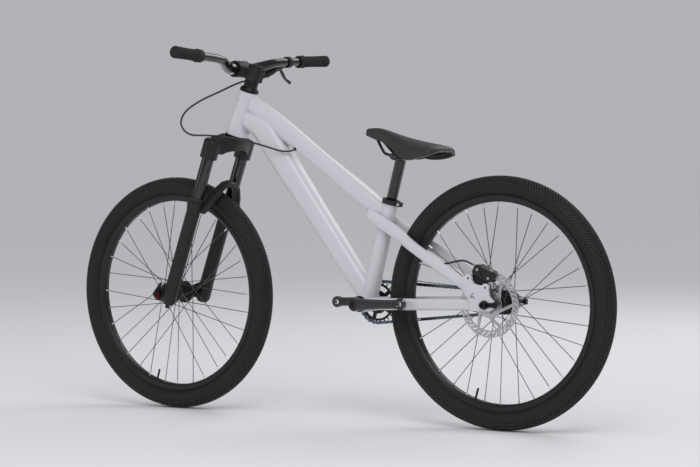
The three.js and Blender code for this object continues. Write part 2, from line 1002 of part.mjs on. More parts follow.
// A bottom bracket cup: a threaded insert, a flange against the shell and, on the left, a collar to the arm.
function bracketCupForm(side) {
  const face = shell.width / 2 + seam;
  const flangeEnd = face + bracketCup.flange;
  const bore = boreFor(spindle.radius);
  const insertEnd = shell.width / 2 - bracketCup.insert;
  const seat = shell.bore - seam;
  const end = side > 0 ? crank.bossInner - seam : flangeEnd;
  const outline = [
    [bore, insertEnd],
    [seat, insertEnd],
    [seat, face],
    [bracketCup.flangeRadius, face],
    [bracketCup.flangeRadius, flangeEnd - bracketCup.edge],
    [bracketCup.flangeRadius - bracketCup.edge, flangeEnd],
  ];
  if (side > 0) {
    outline.push([bracketCup.collarRadius, flangeEnd], [bracketCup.collarRadius, end]);
  }
  outline.push([bore, end]);
  const cup = turned(outline);
  return cup.scale(1, side, 1).translate(bracket.x, 0, bracket.z);
}

// Fork, in the frame of the steering axis.
const crownTop = -headTube.length - seam - lowerCup.lip - seam;

// Joins a half outline, from the middle outward and back, with its mirror image.
function bothSides(half) {
  const inner = half.filter(([side]) => side > 0);
  return [...half, ...inner.reverse().map(([side, rise]) => [-side, rise])];
}

function crownForm() {
  const front = bothSides(shape(crown.frontShares, fork.spread, crown.height));
  const plan = shape(crown.planShares, crown.depth, fork.spread).map(([x, y]) => [y, x]);
  const planOutline = bothSides(plan).map(([y, x]) => [x, y]);
  const [from, to] = [crownTop - crown.height - overrun, crownTop + overrun];
  const frontSolid = wall(front, -crown.depth, crown.depth).translate(0, 0, crownTop);
  const bridge = overlap(frontSolid, slab(planOutline, from, to));
  const legTop = crownTop - crown.legDrop;
  const legFoot = crownTop - crown.height;
  const socket = turnedUp([
    [0, legTop],
    [crown.legRadius - crown.legEdge, legTop],
    [crown.legRadius, legTop - crown.legEdge],
    [crown.legRadius, legFoot],
    [0, legFoot],
  ]);
  const bore = rodUp(boreFor(stanchion.radius), legFoot - overrun, -stanchion.top + seam);
  const tube = turnedUp([
    [0, crownTop - crown.legDrop],
    [steerer.raceRadius, crownTop - crown.legDrop],
    [steerer.raceRadius, crownTop],
    [steerer.baseRadius, crownTop],
    [steerer.baseRadius, crownTop + seam],
    [steerer.radius, -steerer.taperStart],
    [steerer.radius, steerer.top],
    [0, steerer.top],
  ]);
  let form = join(bridge, tube);
  for (const side of [1, -1]) {
    const place = [fork.lead, side * fork.spread, 0];
    form = cut(join(form, socket.clone().translate(...place)), bore.clone().translate(...place));
  }
  const lowest = crownTop - crown.height - overrun;
  return cut(form, rodUp(steerer.bore, lowest, -steerer.taperStart, fineFacets));
}

function stanchionForm() {
  return rodUp(stanchion.radius, -stanchion.bottom, -stanchion.top);
}

function sealForm() {
  const foot = -lowers.top + seam;
  const bore = boreFor(stanchion.radius);
  return turnedUp([
    [bore, foot],
    [seal.radius, foot],
    [seal.radius, foot + seal.height - seal.edge],
    [seal.radius - seal.edge, foot + seal.height],
    [bore, foot + seal.height],
  ]);
}

function legForm() {
  const collarEnd = lowers.top + lowers.collarLength;
  const bore = boreFor(stanchion.radius);
  return turnedUp([
    [0, -lowers.boreEnd],
    [bore, -lowers.boreEnd],
    [bore, -lowers.top],
    [lowers.collarRadius, -lowers.top],
    [lowers.collarRadius, -collarEnd],
    [lowers.legRadius, -collarEnd - lowers.shoulder],
    [lowers.legRadius, lowers.footLength - lowers.foot],
    [lowers.footRadius, (lowers.footLength - 2 * lowers.foot) / 2 + lowers.soleLength],
    [lowers.footRadius, lowers.soleLength - lowers.foot],
    [lowers.soleRadius, -lowers.foot],
    [0, -lowers.foot],
  ]);
}

// The foot that carries the axle ahead of the leg.
function axleFoot(side) {
  const outline = [
    [fork.lead, lowers.webRise - fork.axleDrop],
    [fork.lead, -fork.axleDrop - lowers.bossRadius / 2],
    ...arc(fork.axleLead, -fork.axleDrop, lowers.bossRadius, -Math.PI / 2, Math.PI / 3, roundFacets / 2),
  ];
  const middle = side * fork.spread;
  const web = plate(outline, middle - lowers.webHalf, middle + lowers.webHalf);
  const [from, to] = side > 0 ? [lowers.bossInner, lowers.bossOuter] : [-lowers.bossOuter, -lowers.bossInner];
  const boss = rod(lowers.bossRadius, from, to).translate(fork.axleLead, 0, -fork.axleDrop);
  return join(web, boss);
}

// The arch runs behind the legs from one to the other.
function archForm() {
  const rise = arch.root - arch.crest;
  const half = arch.rowShares.map(([side, back, up]) => (
    new THREE.Vector3(-back * arch.back, side * fork.spread, up * rise - arch.root)
  ));
  const rest = half.slice(0, -1).reverse().map((point) => new THREE.Vector3(point.x, -point.y, point.z));
  const points = [...half, ...rest];
  const side = new THREE.Vector3(1, 0, 0);
  const rings = points.map((point, i) => {
    const run = direction(points, i);
    const up = run.clone().cross(side).normalize();
    return chamferedRing(point, side, up, arch.depth, arch.thickness, arch.corner);
  });
  return loft(rings);
}

function lowersForm() {
  let form = archForm();
  for (const side of [1, -1]) {
    form = join(form, legForm().translate(fork.lead, side * fork.spread, 0), axleFoot(side));
  }
  const boreHeight = [-lowers.boreEnd, overrun - lowers.top];
  const axleBore = rod(boreFor(frontAxle.radius), -lowers.bossOuter - overrun, lowers.bossOuter + overrun);
  form = cut(form, axleBore.translate(fork.axleLead, 0, -fork.axleDrop));
  for (const side of [1, -1]) {
    const bore = rodUp(boreFor(stanchion.radius), ...boreHeight);
    form = cut(form, bore.translate(fork.lead, side * fork.spread, 0));
  }
  return form;
}

function frontAxleForm() {
  const face = lowers.bossOuter + seam;
  const end = face + frontAxle.headLength;
  return turned([
    [0, -lowers.bossOuter + frontAxle.boreDepth],
    [frontAxle.bore, -lowers.bossOuter + frontAxle.boreDepth],
    [frontAxle.bore, -lowers.bossOuter],
    [frontAxle.radius, -lowers.bossOuter],
    [frontAxle.radius, face],
    [frontAxle.head, face],
    [frontAxle.head, end - frontAxle.headGap],
    [frontAxle.head - frontAxle.headGap, end],
    [0, end],
  ], fineFacets);
}

// The axle's lever, drawn with its pivot at the origin and its blade along Z.
function axleLeverForm() {
  const tipRise = axleLever.length;
  const rings = [0, tipRise / 2, tipRise].map((rise, i) => {
    const share = i / 2;
    const width = THREE.MathUtils.lerp(axleLever.width, axleLever.tipWidth, share);
    const thickness = THREE.MathUtils.lerp(axleLever.thickness, axleLever.tipThickness, share);
    const centre = new THREE.Vector3(0, 0, rise);
    const [side, up] = [new THREE.Vector3(1, 0, 0), new THREE.Vector3(0, 1, 0)];
    return chamferedRing(centre, side, up, width, thickness, axleLever.tipThickness / 4);
  });
  const half = axleLever.width / 2;
  const pivot = rod(axleLever.thickness / 2, -half, half, fineFacets).rotateZ(Math.PI / 2);
  return join(loft(rings), pivot);
}

function reboundKnobForm() {
  const top = -lowers.foot - seam;
  const count = 2 * reboundKnob.grooves;
  const outline = Array.from({ length: count }, (_, i) => {
    const radius = reboundKnob.radius - (i % 2) * reboundKnob.groove;
    const angle = (i / count) * 2 * Math.PI;
    return [radius * Math.cos(angle), radius * Math.sin(angle)];
  });
  return slab(outline, top - reboundKnob.length, top);
}

// Stem, bar and controls, in the frame of the steering axis unless a comment says otherwise.
const stemFoot = seam + upperCup.lip + seam + cover.stackHeight;
const stemTop = stemFoot + stem.height;
const barRise = stemTop - stem.height / 2 - stem.clampDrop;

function spacersForm() {
  const foot = seam + upperCup.lip + seam;
  const bore = boreFor(steerer.radius);
  return turnedUp([
    [bore, foot],
    [cover.radius, foot],
    [cover.radius, foot + cover.height / 4],
    [cover.spacerRadius, foot + cover.height],
    [cover.spacerRadius, stemFoot - seam],
    [bore, stemFoot - seam],
  ]);
}

function barClamp(radius, facets = roundFacets) {
  return rod(radius, -stem.halfWidth, stem.halfWidth, facets).translate(stem.reach, 0, barRise);
}

function stemForm() {
  const post = rodUp(stem.radius, stemFoot, stemTop);
  const neckFoot = barRise - stem.neckHeight / 2;
  const neck = slab([
    [0, -stem.neckHalf],
    [stem.reach, -stem.halfWidth],
    [stem.reach, stem.halfWidth],
    [0, stem.neckHalf],
  ], neckFoot, neckFoot + stem.neckHeight);
  const ears = block(-stem.earReach, 0, -stem.earHalf, stem.earHalf, stemFoot, stemTop);
  const over = stemTop + overrun;
  const bore = rodUp(boreFor(steerer.radius), stemFoot - overrun, over);
  const slitHalf = stem.slit / 2;
  const slit = block(-stem.earReach - overrun, 0, -slitHalf, slitHalf, stemFoot - overrun, over);
  const face = stem.reach - seam / 2;
  const wide = 2 * stem.halfWidth;
  const front = block(face, face + 2 * stem.clampRadius, -wide, wide, 0, 2 * over);
  const seat = rod(boreFor(bar.clampRadius), -2 * stem.halfWidth, 2 * stem.halfWidth);
  const body = join(post, neck, ears, barClamp(stem.clampRadius));
  return cut(body, bore, slit, front, seat.translate(stem.reach, 0, barRise));
}

function faceplateForm() {
  const face = stem.reach + seam / 2;
  const span = 2 * stem.clampRadius;
  const wide = 2 * stem.halfWidth;
  const back = block(face - span, face, -wide, wide, barRise - span, barRise + span);
  const seat = rod(boreFor(bar.clampRadius), -2 * stem.halfWidth, 2 * stem.halfWidth);
  const half = [stem.windowHalf, stem.window / 2];
  const window = block(face, face + span, -half[0], half[0], barRise - half[1], barRise + half[1]);
  return cut(barClamp(stem.clampRadius), back, seat.translate(stem.reach, 0, barRise), window);
}

function capForm() {
  const foot = stemTop + seam;
  const top = foot + cap.height;
  return turnedUp([
    [0, foot],
    [cap.radius, foot],
    [cap.radius, top - cap.edge],
    [cap.radius - cap.edge, top],
    [cap.recess, top],
    [cap.recess, top - cap.recessDepth],
    [0, top - cap.recessDepth],
  ]);
}

// The bar's middle, in the bike's frame.
const barCentre = new THREE.Vector3(
  headTubeTop.x + stem.reach * Math.sin(headAngle) - barRise * Math.cos(headAngle),
  0,
  headTubeTop.y + stem.reach * Math.cos(headAngle) + barRise * Math.sin(headAngle),
);

// Half of the bar's centre line, out to the left, in the bike's frame: sweep back, place along Y and rise.
const barHalf = [
  [0, 0, 0],
  [0, bar.flatHalf, 0],
  [bar.bendSweep, bar.bendHalf, bar.bendRise],
  [bar.gripSweep, bar.gripHalf, bar.gripRise],
  [bar.endSweep, bar.half, bar.endRise],
].map(([sweep, side, rise]) => new THREE.Vector3(barCentre.x - sweep, side, barCentre.z + rise));

function mirrorPoint(point) {
  return new THREE.Vector3(point.x, -point.y, point.z);
}

// Rounds the two bends between the clamp and the grips.
function barPath() {
  const [middle, flat, bend, inner, end] = barHalf;
  const between = (a, b, share) => a.clone().lerp(b, share);
  return [
    middle,
    between(middle, flat, bar.clampShare),
    ...bar.bendShares.map((share) => between(flat, bend, share)),
    between(bend, inner, bar.innerShare),
    inner,
    end,
  ];
}

function barForm() {
  const path = barPath();
  const radii = path.map((_, i) => (i < 2 ? bar.clampRadius : taperedRadius(i, path.length)));
  const points = [...path.slice(1).reverse(), ...path.map(mirrorPoint)];
  const sizes = [...radii.slice(1).reverse(), ...radii];
  return bentRod(points, sizes, fineFacets, new THREE.Vector3(1, 0, 0));
}

function taperedRadius(i, count) {
  const share = Math.min((i - 1) / (count - 4), 1);
  return THREE.MathUtils.lerp(bar.clampRadius, bar.gripRadius, share);
}

// Places a form drawn along Y, from its origin outward, on the bar's grip section.
function onGripLine(geometry, side) {
  const place = (point) => (side > 0 ? point.clone() : mirrorPoint(point));
  const [inner, end] = [place(barHalf[3]), place(barHalf[4])];
  const run = end.clone().sub(inner).normalize();
  const turn = new THREE.Quaternion().setFromUnitVectors(new THREE.Vector3(0, 1, 0), run);
  return geometry.applyQuaternion(turn).translate(inner.x, inner.y, inner.z);
}

function gripForm(side) {
  const length = barHalf[3].distanceTo(barHalf[4]);
  const bore = boreFor(bar.gripRadius, fineFacets);
  const end = length + seam + grip.cap;
  const form = turned([
    [0, length + seam],
    [bore, length + seam],
    [bore, 0],
    [grip.ring, 0],
    [grip.ring, grip.ringLength],
    [grip.flange, grip.ringLength],
    [grip.flange, grip.ringLength + grip.flangeLength],
    [grip.radius, grip.ringLength + 2 * grip.flangeLength],
    [grip.waist, length / 2],
    [grip.radius, length],
    [grip.radius, end - grip.cap / 3],
    [grip.waist, end],
    [0, end],
  ], fineFacets);
  return onGripLine(form, side);
}

// The brake lever's own frame: origin at its pivot, first axis outward along the bar, second axis away from
// the bar, third axis along the pivot.
const leverShare = (lever.clamp - bar.bendHalf) / (bar.gripHalf - bar.bendHalf);
const leverPlace = barHalf[2].clone().lerp(barHalf[3], leverShare);
const leverPivot = new THREE.Vector3(
  leverPlace.x + lever.pivotLead,
  lever.pivotInset - lever.clamp,
  leverPlace.z - lever.pivotDrop,
);

function leverFrame() {
  const out = new THREE.Vector3(0, -1, 0);
  const away = new THREE.Vector3(Math.cos(lever.pullLean), 0, -Math.sin(lever.pullLean));
  const pin = out.clone().cross(away);
  return new THREE.Matrix4().makeBasis(out, away, pin).setPosition(leverPivot);
}

function leverBodyForm() {
  const bore = boreFor(bar.gripRadius, fineFacets);
  const half = lever.clampLength / 2;
  const run = mirrorPoint(barHalf[3]).sub(mirrorPoint(barHalf[2])).normalize();
  const turn = new THREE.Quaternion().setFromUnitVectors(new THREE.Vector3(0, 1, 0), run);
  const centre = mirrorPoint(leverPlace);
  const onBar = (geometry) => geometry.applyQuaternion(turn).translate(centre.x, centre.y, centre.z);
  const clampRod = onBar(rod(lever.clampRadius, -half, half, fineFacets));
  const clampBore = onBar(rod(bore, -half - 3 * overrun, half + 3 * overrun, fineFacets));
  const frame = leverFrame();
  const outline = shape(lever.linkShares, lever.link, lever.link);
  const link = slab(outline, -lever.earHalf, lever.earHalf).applyMatrix4(frame);
  const path = lever.bodyShares.map(([along, drop]) => (
    new THREE.Vector3(-along * lever.bodyReach, drop * lever.bodyDrop, 0)
  ));
  const radii = lever.bodyShares.map(([, , share]) => share * lever.reservoirRadius);
  const body = bentRod(path, radii, slimFacets, new THREE.Vector3(0, 0, 1)).applyMatrix4(frame);
  const slotFloor = -lever.eyeRadius - lever.pinRadius;
  const slotOutline = rectangle(slotFloor, 2 * lever.link, slotFloor, 2 * lever.link);
  const slot = slab(slotOutline, -lever.slotHalf, lever.slotHalf).applyMatrix4(frame);
  const pin = rodUp(lever.pinRadius, -lever.earHalf, lever.earHalf, slimFacets).applyMatrix4(frame);
  return join(cut(join(clampRod, link, body), clampBore, slot), pin);
}

function leverBladeForm() {
  const [side, up] = [new THREE.Vector3(0, 0, 1), new THREE.Vector3(0, 1, 0)];
  const rings = lever.bladeShares.map(([along, drop, share], i) => {
    const centre = new THREE.Vector3(along * lever.bladeReach, drop * lever.bladeDrop, 0);
    const thickness = share * lever.bladeThickness;
    return chamferedRing(centre, side, up, bladeHeightAt(i), thickness, lever.bladeThickness / 4);
  });
  const eyeHalf = lever.slotHalf - seam;
  const eye = rodUp(lever.eyeRadius, -eyeHalf, eyeHalf, fineFacets);
  const bore = rodUp(boreFor(lever.pinRadius, slimFacets), -lever.earHalf, lever.earHalf, slimFacets);
  return cut(join(loft(rings), eye), bore).applyMatrix4(leverFrame());
}

// The blade is as thin as its eye inside the body's slot and widens past it.
function bladeHeightAt(i) {
  return i < 2 ? 2 * (lever.slotHalf - seam) : lever.bladeHeight;
}

// Wheels, drawn round the Y axis with the hub's middle at the origin.
function mirroredOutline(half) {
  const rest = half.filter(([, side]) => side !== 0).reverse().map(([radius, side]) => [radius, -side]);
  return [...half, ...rest];
}

function tyreForm() {
  const seat = rim.beadRadius + seam;
  const depth = tyreRadius - seat;
  const half = tyreShares.map(([depthShare, sideShare]) => [
    seat + depthShare * depth,
    (sideShare * tyreWidth) / 2,
  ]);
  return turned(mirroredOutline(half), wheelFacets);
}

function rimForm() {
  const half = rim.width / 2;
  return turned(mirroredOutline([
    [rim.innerRadius, rim.floorHalf],
    [rim.shoulder, half],
    [rim.flangeRadius, half],
    [rim.flangeRadius, half - rim.flange],
    [rim.beadRadius, half - rim.flange],
  ]), wheelFacets);
}

// Distance from the axis to the rim's faceted inner wall, at a turn round the wheel.
function rimWallAt(turn) {
  const step = (2 * Math.PI) / wheelFacets;
  const offMiddle = (((turn % step) + step) % step) - step / 2;
  return (rim.innerRadius * Math.cos(step / 2)) / Math.cos(offMiddle);
}

// A spoke from a flange hole to the rim. Leading and trailing spokes pass each other on the two flange faces.
function spokeForm(flangeRadius, flange, angle, lean, face) {
  const holeRadius = flangeRadius - spokes.holeInset;
  const rimRadius = rimWallAt(angle + lean) - seam - spokes.size / 8;
  const at = (radius, turn, side) => new THREE.Vector3(radius * Math.sin(turn), side, radius * Math.cos(turn));
  const foot = at(holeRadius, angle, flange + face * spokes.lift);
  const head = at(rimRadius, angle + lean, Math.sign(flange) * spokes.rimHalf);
  const run = head.clone().sub(foot).normalize();
  const side = new THREE.Vector3(0, 1, 0).cross(run).normalize();
  const up = run.clone().cross(side);
  const start = foot.clone().addScaledVector(run, -spokes.size);
  const corners = circle(0, 0, spokes.size / 2, spokes.facets);
  return loft([start, head].map((point) => (
    corners.map(([x, y]) => point.clone().addScaledVector(side, x).addScaledVector(up, y))
  )));
}

function hubProfile(size, bore) {
  const half = hub.flangeThickness / 2;
  const [left, right] = [size.leftFlange, size.rightFlange];
  return [
    [bore, size.left],
    [hub.endRadius, size.left],
    [hub.endRadius + hub.flangeThickness, size.disc + half],
    [size.discRadius, size.disc + half],
    [size.discRadius, size.disc - half],
    [hub.barrelRadius + hub.flangeThickness, size.disc - half],
    [hub.barrelRadius + hub.flangeThickness, left + half],
    [size.flangeRadius, left + half],
    [size.flangeRadius, left - half],
    [hub.barrelRadius, left - 3 * half],
    [hub.barrelRadius, right + 3 * half],
    [size.flangeRadius, right + half],
    [size.flangeRadius, right - half],
    [hub.endRadius, right - 3 * half],
    [hub.endRadius, size.right],
    [bore, size.right],
  ];
}

function hubForm(size, axleRadius) {
  const whole = [toSolid(turned(hubProfile(size, boreFor(axleRadius))))];
  const step = (2 * Math.PI) / (spokes.perSide / 2);
  for (const flange of [size.leftFlange, size.rightFlange]) {
    const shift = flange > 0 ? 0 : step / 4;
    for (let i = 0; i < spokes.perSide / 2; i += 1) {
      const start = shift + i * step;
      const leading = spokeForm(size.flangeRadius, flange, start, spokes.cross, 1);
      const trailing = spokeForm(size.flangeRadius, flange, start + step / 2, -spokes.cross, -1);
      whole.push(toSolid(leading), toSolid(trailing));
    }
  }
  return toGeometry(wasm.Manifold.union(whole));
}

// The rotor: a waved rim with slanting slots, carried by slanting arms on a ring round the hub.
function rotorForm() {
  const count = 3 * rotor.waves;
  const edge = Array.from({ length: count }, (_, i) => {
    const angle = (i / count) * 2 * Math.PI;
    const radius = rotor.radius - (rotor.wave / 2) * (1 - Math.cos(rotor.waves * angle));
    return [radius * Math.cos(angle), radius * Math.sin(angle)];
  });
  const at = (radius, angle) => [radius * Math.cos(angle), radius * Math.sin(angle)];
  const slots = Array.from({ length: rotor.slots }, (_, i) => {
    const angle = (i / rotor.slots) * 2 * Math.PI;
    const width = rotor.slotHalf / rotor.slotInner;
    return [
      at(rotor.slotInner, angle - width),
      at(rotor.slotInner, angle + width),
      at(rotor.slotOuter, angle + width + rotor.slotLean),
      at(rotor.slotOuter, angle - width + rotor.slotLean),
    ];
  });
  const step = (2 * Math.PI) / rotor.arms;
  const windows = Array.from({ length: rotor.arms }, (_, i) => {
    const angle = i * step;
    const [outerEdge, innerEdge] = [rotor.armHalf / rotor.ringInner, rotor.armHalf / rotor.carrierOuter];
    const outer = arc(0, 0, rotor.ringInner, angle + outerEdge, angle + step - outerEdge, rotor.outerSteps);
    const [first, last] = [angle + step - innerEdge, angle + innerEdge];
    const inner = arc(0, 0, rotor.carrierOuter, first, last, rotor.innerSteps);
    const leaned = inner.map(([x, y]) => {
      const [c, s] = [Math.cos(rotor.armLean), Math.sin(rotor.armLean)];
      return [x * c - y * s, x * s + y * c];
    });
    return [...outer, ...leaned];
  });
  const bore = circle(0, 0, rotor.bore, roundFacets);
  const half = rotor.thickness / 2;
  return plate(edge, rotorPlane - half, rotorPlane + half, [bore, ...windows, ...slots]);
}

// A toothed disc in the plane of the chain, round its own axis. The first tooth stands at the given angle.
function toothedDisc(count, pitchRadius, start) {
  const step = (2 * Math.PI) / count;
  const root = pitchRadius - teeth.seat;
  const tip = pitchRadius + teeth.rise;
  const outline = [];
  for (let i = 0; i < count; i += 1) {
    const angle = start + i * step;
    const corners = [
      [root, -teeth.root],
      [tip, -teeth.tip],
      [tip, teeth.tip],
      [root, teeth.root],
    ];
    for (const [radius, side] of corners) {
      outline.push([
        radius * Math.cos(angle) - side * Math.sin(angle),
        radius * Math.sin(angle) + side * Math.cos(angle),
      ]);
    }
  }
  const half = teeth.thickness / 2;
  return plate(outline, -chainLine - half, -chainLine + half);
}

// The line from the rear axle to the bottom bracket, and the turn of the chain's frame along it.
const chainLean = Math.atan2(bracketRise, bracketReach);

function ringForm() {
  const step = (2 * Math.PI) / ringTeeth;
  const disc = toothedDisc(ringTeeth, ringRadius, Math.PI / 2 - step / 2);
  const half = teeth.thickness / 2;
  const inner = -chainLine - half;
  const boss = rod(ringBoss.radius, -crank.bossInner + seam, inner + half);
  const bore = rod(boreFor(spindle.radius), -chainLine - 4 * overrun, -chainLine + 4 * overrun);
  const windowStep = (2 * Math.PI) / ringBoss.arms;
  const outerRadius = ringRadius - teeth.seat - ringBoss.ringWall;
  const windows = Array.from({ length: ringBoss.arms }, (_, i) => {
    const angle = i * windowStep;
    const [far, near] = [ringBoss.armHalf / outerRadius, ringBoss.armHalf / ringBoss.waist];
    const outline = [
      ...arc(0, 0, outerRadius, angle + far, angle + windowStep - far, ringBoss.outerSteps),
      ...arc(0, 0, ringBoss.waist, angle + windowStep - near, angle + near, ringBoss.innerSteps),
    ];
    return plate(outline, -chainLine - 4 * overrun, -chainLine + 4 * overrun);
  });
  return cut(join(disc, boss), bore, ...windows).rotateY(-chainLean).translate(bracket.x, 0, bracket.z);
}

function freehubForm() {
  const cog = toothedDisc(cogTeeth, cogRadius, Math.PI);
  const body = rod(freehub.radius, -freehub.outer, -freehub.inner);
  const bore = rod(boreFor(rearBolt.radius), -freehub.outer - overrun, overrun - freehub.inner);
  return cut(join(cog, body), bore).rotateY(-chainLean).translate(rearAxle.x, 0, rearAxle.z);
}

function spindleForm() {
  return rod(spindle.radius, -spindle.half, spindle.half).translate(bracket.x, 0, bracket.z);
}

// The chain's joints in its own frame: first axis from the rear axle to the bottom bracket, origin at the
// axle.
function chainJoints() {
  const joints = [];
  const add = (x, radius, angle) => {
    joints.push(new THREE.Vector2(x + radius * Math.cos(angle), radius * Math.sin(angle)));
  };
  const ringStep = (2 * Math.PI) / ringTeeth;
  const cogStep = (2 * Math.PI) / cogTeeth;
  const onRing = ringTeeth / 2;
  const onCog = Math.round(cogTeeth / 2) - 1;
  for (let i = 0; i <= onRing; i += 1) add(chainstayLength, ringRadius, Math.PI / 2 - i * ringStep);
  const cogStart = Math.PI + (onCog * cogStep) / 2;
  const links = 2 * Math.round(chainstayLength / chainPitch / 2);
  addRun(joints, new THREE.Vector2(cogRadius * Math.cos(cogStart), cogRadius * Math.sin(cogStart)), links);
  for (let i = 0; i <= onCog; i += 1) add(0, cogRadius, cogStart - i * cogStep);
  addRun(joints, joints[0], links);
  return joints;
}

// Adds the joints of a straight run up to, not including, its last joint.
function addRun(joints, end, links) {
  const start = joints[joints.length - 1];
  for (let i = 1; i < links; i += 1) joints.push(start.clone().lerp(end, i / links));
}

// The chain: one closed band whose links have an open window between two joints, wide links and narrow ones
// by turns. Each link has a ring of 8 points at both ends of its window.
function chainForm() {
  const joints = chainJoints();
  const count = joints.length;
  const positions = [];
  const index = [];
  const polygon = (...corners) => {
    for (let i = 1; i < corners.length - 1; i += 1) index.push(corners[0], corners[i], corners[i + 1]);
  };
  joints.forEach((joint, i) => {
    const run = joints[(i + 1) % count].clone().sub(joint);
    const normal = new THREE.Vector2(-run.y, run.x).normalize();
    const half = i % 2 ? chain.innerHalf : chain.outerHalf;
    const sides = [-half, -chain.windowWidth / 2, chain.windowWidth / 2, half];
    const share = chain.windowLength / run.length() / 2;
    for (const along of [0.5 - share, 0.5 + share]) {
      for (const rise of [chain.halfHeight, -chain.halfHeight]) {
        const place = joint.clone().addScaledVector(run, along).addScaledVector(normal, rise);
        const row = rise > 0 ? sides : [...sides].reverse();
        for (const side of row) positions.push(place.x, side - chainLine, place.y);
      }
    }
  });
  const corners = (ring) => Array.from({ length: chain.ringCorners }, (_, k) => ring * chain.ringCorners + k);
  for (let i = 0; i < count; i += 1) {
    const [a0, a1, a2, a3, b0, b1, b2, b3] = corners(2 * i);
    const [c0, c1, c2, c3, d0, d1, d2, d3] = corners(2 * i + 1);
    const [n0, n1, n2, n3, m0, m1, m2, m3] = corners((2 * i + 2) % (2 * count));
    polygon(a3, b0, d0, c3);
    polygon(b3, a0, c0, d3);
    polygon(a0, a1, c1, c0);
    polygon(a2, a3, c3, c2);
    polygon(b0, b1, d1, d0);
    polygon(b2, b3, d3, d2);
    polygon(a1, b2, d2, c1);
    polygon(b1, a2, c2, d1);
    polygon(a1, a2, b1, b2);
    polygon(c1, d2, d1, c2);
    polygon(c3, d0, m0, n3);
    polygon(d3, c0, n0, m3);
    polygon(c1, c2, n2, n1);
    polygon(c0, c1, n1, n0);
    polygon(c2, c3, n3, n2);
    polygon(d1, d2, m2, m1);
    polygon(d0, d1, m1, m0);
    polygon(d2, d3, m3, m2);
  }
  const geometry = new THREE.BufferGeometry();
  geometry.setAttribute('position', new THREE.Float32BufferAttribute(positions, 3));
  geometry.setIndex(index);
  return geometry.rotateY(-chainLean).translate(rearAxle.x, 0, rearAxle.z);
}

// A crank arm, drawn along X from the bottom bracket, on the left.
function crankForm(side) {
  const bossMiddle = (crank.bossInner + crank.bossOuter) / 2;
  const eyeMiddle = (crank.eyeInner + crank.eyeOuter) / 2;
  const across = new THREE.Vector3(0, 1, 0);
  const up = new THREE.Vector3(0, 0, 1);
  const rings = crank.rowShares.map(([along, out, width, height]) => {
    const place = THREE.MathUtils.lerp(bossMiddle, eyeMiddle, out);
    const centre = new THREE.Vector3(along * crank.length, place, 0);
    const thick = width * (crank.bossOuter - crank.bossInner);
    return chamferedRing(centre, across, up, thick, height * crank.rootHeight, crank.corner);
  });
  const boss = rod(crank.bossRadius, crank.bossInner, crank.bossOuter);
  const eye = rod(crank.eyeRadius, crank.eyeInner, crank.eyeOuter).translate(crank.length, 0, 0);
  const bore = rod(boreFor(spindle.radius), crank.bossInner - overrun, crank.bossOuter + overrun);
  const hole = rod(crank.pedalBore, crank.eyeInner - overrun, crank.eyeOuter + overrun, fineFacets);
  const form = cut(join(loft(rings), boss, eye), bore, hole.translate(crank.length, 0, 0));
  const turn = side > 0 ? Math.PI + crank.lean : crank.lean;
  return form.scale(1, side, 1).rotateY(turn).translate(bracket.x, 0, bracket.z);
}

// Rear brake, in a frame that leans with the two tabs.
function onTabs(geometry) {
  const middle = tabPlaces().reduce(([x, z], [x1, z1]) => [x + x1 / 2, z + z1 / 2], [0, 0]);
  return geometry.rotateY(-brakeTabs.lean).translate(rearAxle.x + middle[0], 0, rearAxle.z + middle[1]);
}

function caliperForm() {
  const [length, height, edge] = [caliper.halfLength, caliper.halfHeight, caliper.chamfer];
  const outline = [
    [edge - length, -height],
    [length - edge, -height],
    [length, edge - height],
    [length, height - edge],
    [length - edge, height],
    [edge - length, height],
    [-length, height - edge],
    [-length, edge - height],
  ];
  const body = onTabs(plate(outline, caliper.inner, caliper.outer).translate(0, 0, caliper.rise));
  const reach = rotor.thickness / 2 + caliper.rotorGap;
  const room = rod(rotor.radius + caliper.rotorGap, rotorPlane - reach, rotorPlane + reach, wheelFacets);
  const depth = rotor.thickness / 2 + pad.gap + pad.thickness + seam;
  const half = pad.length / 2 + seam;
  const top = pad.radius + pad.height / 2 + seam;
  const pocketOutline = rectangle(-half, half, top - 2 * pad.height, top);
  const pocket = plate(pocketOutline, rotorPlane - depth, rotorPlane + depth).rotateY(pad.turn);
  const portFoot = caliper.outer - caliper.portDepth;
  const port = rod(caliper.portRadius, portFoot, caliper.outer + overrun, fineFacets);
  const seat = onTabs(port.translate(-caliper.waist, 0, caliper.rise));
  const axlePlace = (geometry) => geometry.translate(rearAxle.x, 0, rearAxle.z);
  return cut(body, axlePlace(room), axlePlace(pocket), seat);
}

function bracketPlateForm() {
  const half = brakeTabs.spacing / 2;
  const round = bracketPlate.half;
  const outline = [
    ...arc(half, 0, round, -Math.PI / 2, Math.PI / 2, slimFacets / 2),
    ...arc(-half, 0, round, Math.PI / 2, (3 * Math.PI) / 2, slimFacets / 2),
  ];
  const holes = [half, -half].map((x) => circle(x, 0, brakeTabs.hole, slimFacets));
  return onTabs(plate(outline, bracketPlate.inner, bracketPlate.outer, holes));
}

// A brake pad on one side of the rotor.
function padForm(side) {
  const [half, rise, edge] = [pad.length / 2, pad.height / 2, pad.corner];
  const outline = [
    [-half, -rise],
    [half, -rise],
    [half, rise - edge],
    [half - edge, rise],
    [edge - half, rise],
    [-half, rise - edge],
  ];
  const near = rotor.thickness / 2 + pad.gap;
  const places = [near, near + pad.thickness].map((reach) => rotorPlane + side * reach);
  const form = plate(outline, Math.min(...places), Math.max(...places)).translate(0, 0, pad.radius);
  return form.rotateY(pad.turn).translate(rearAxle.x, 0, rearAxle.z);
}

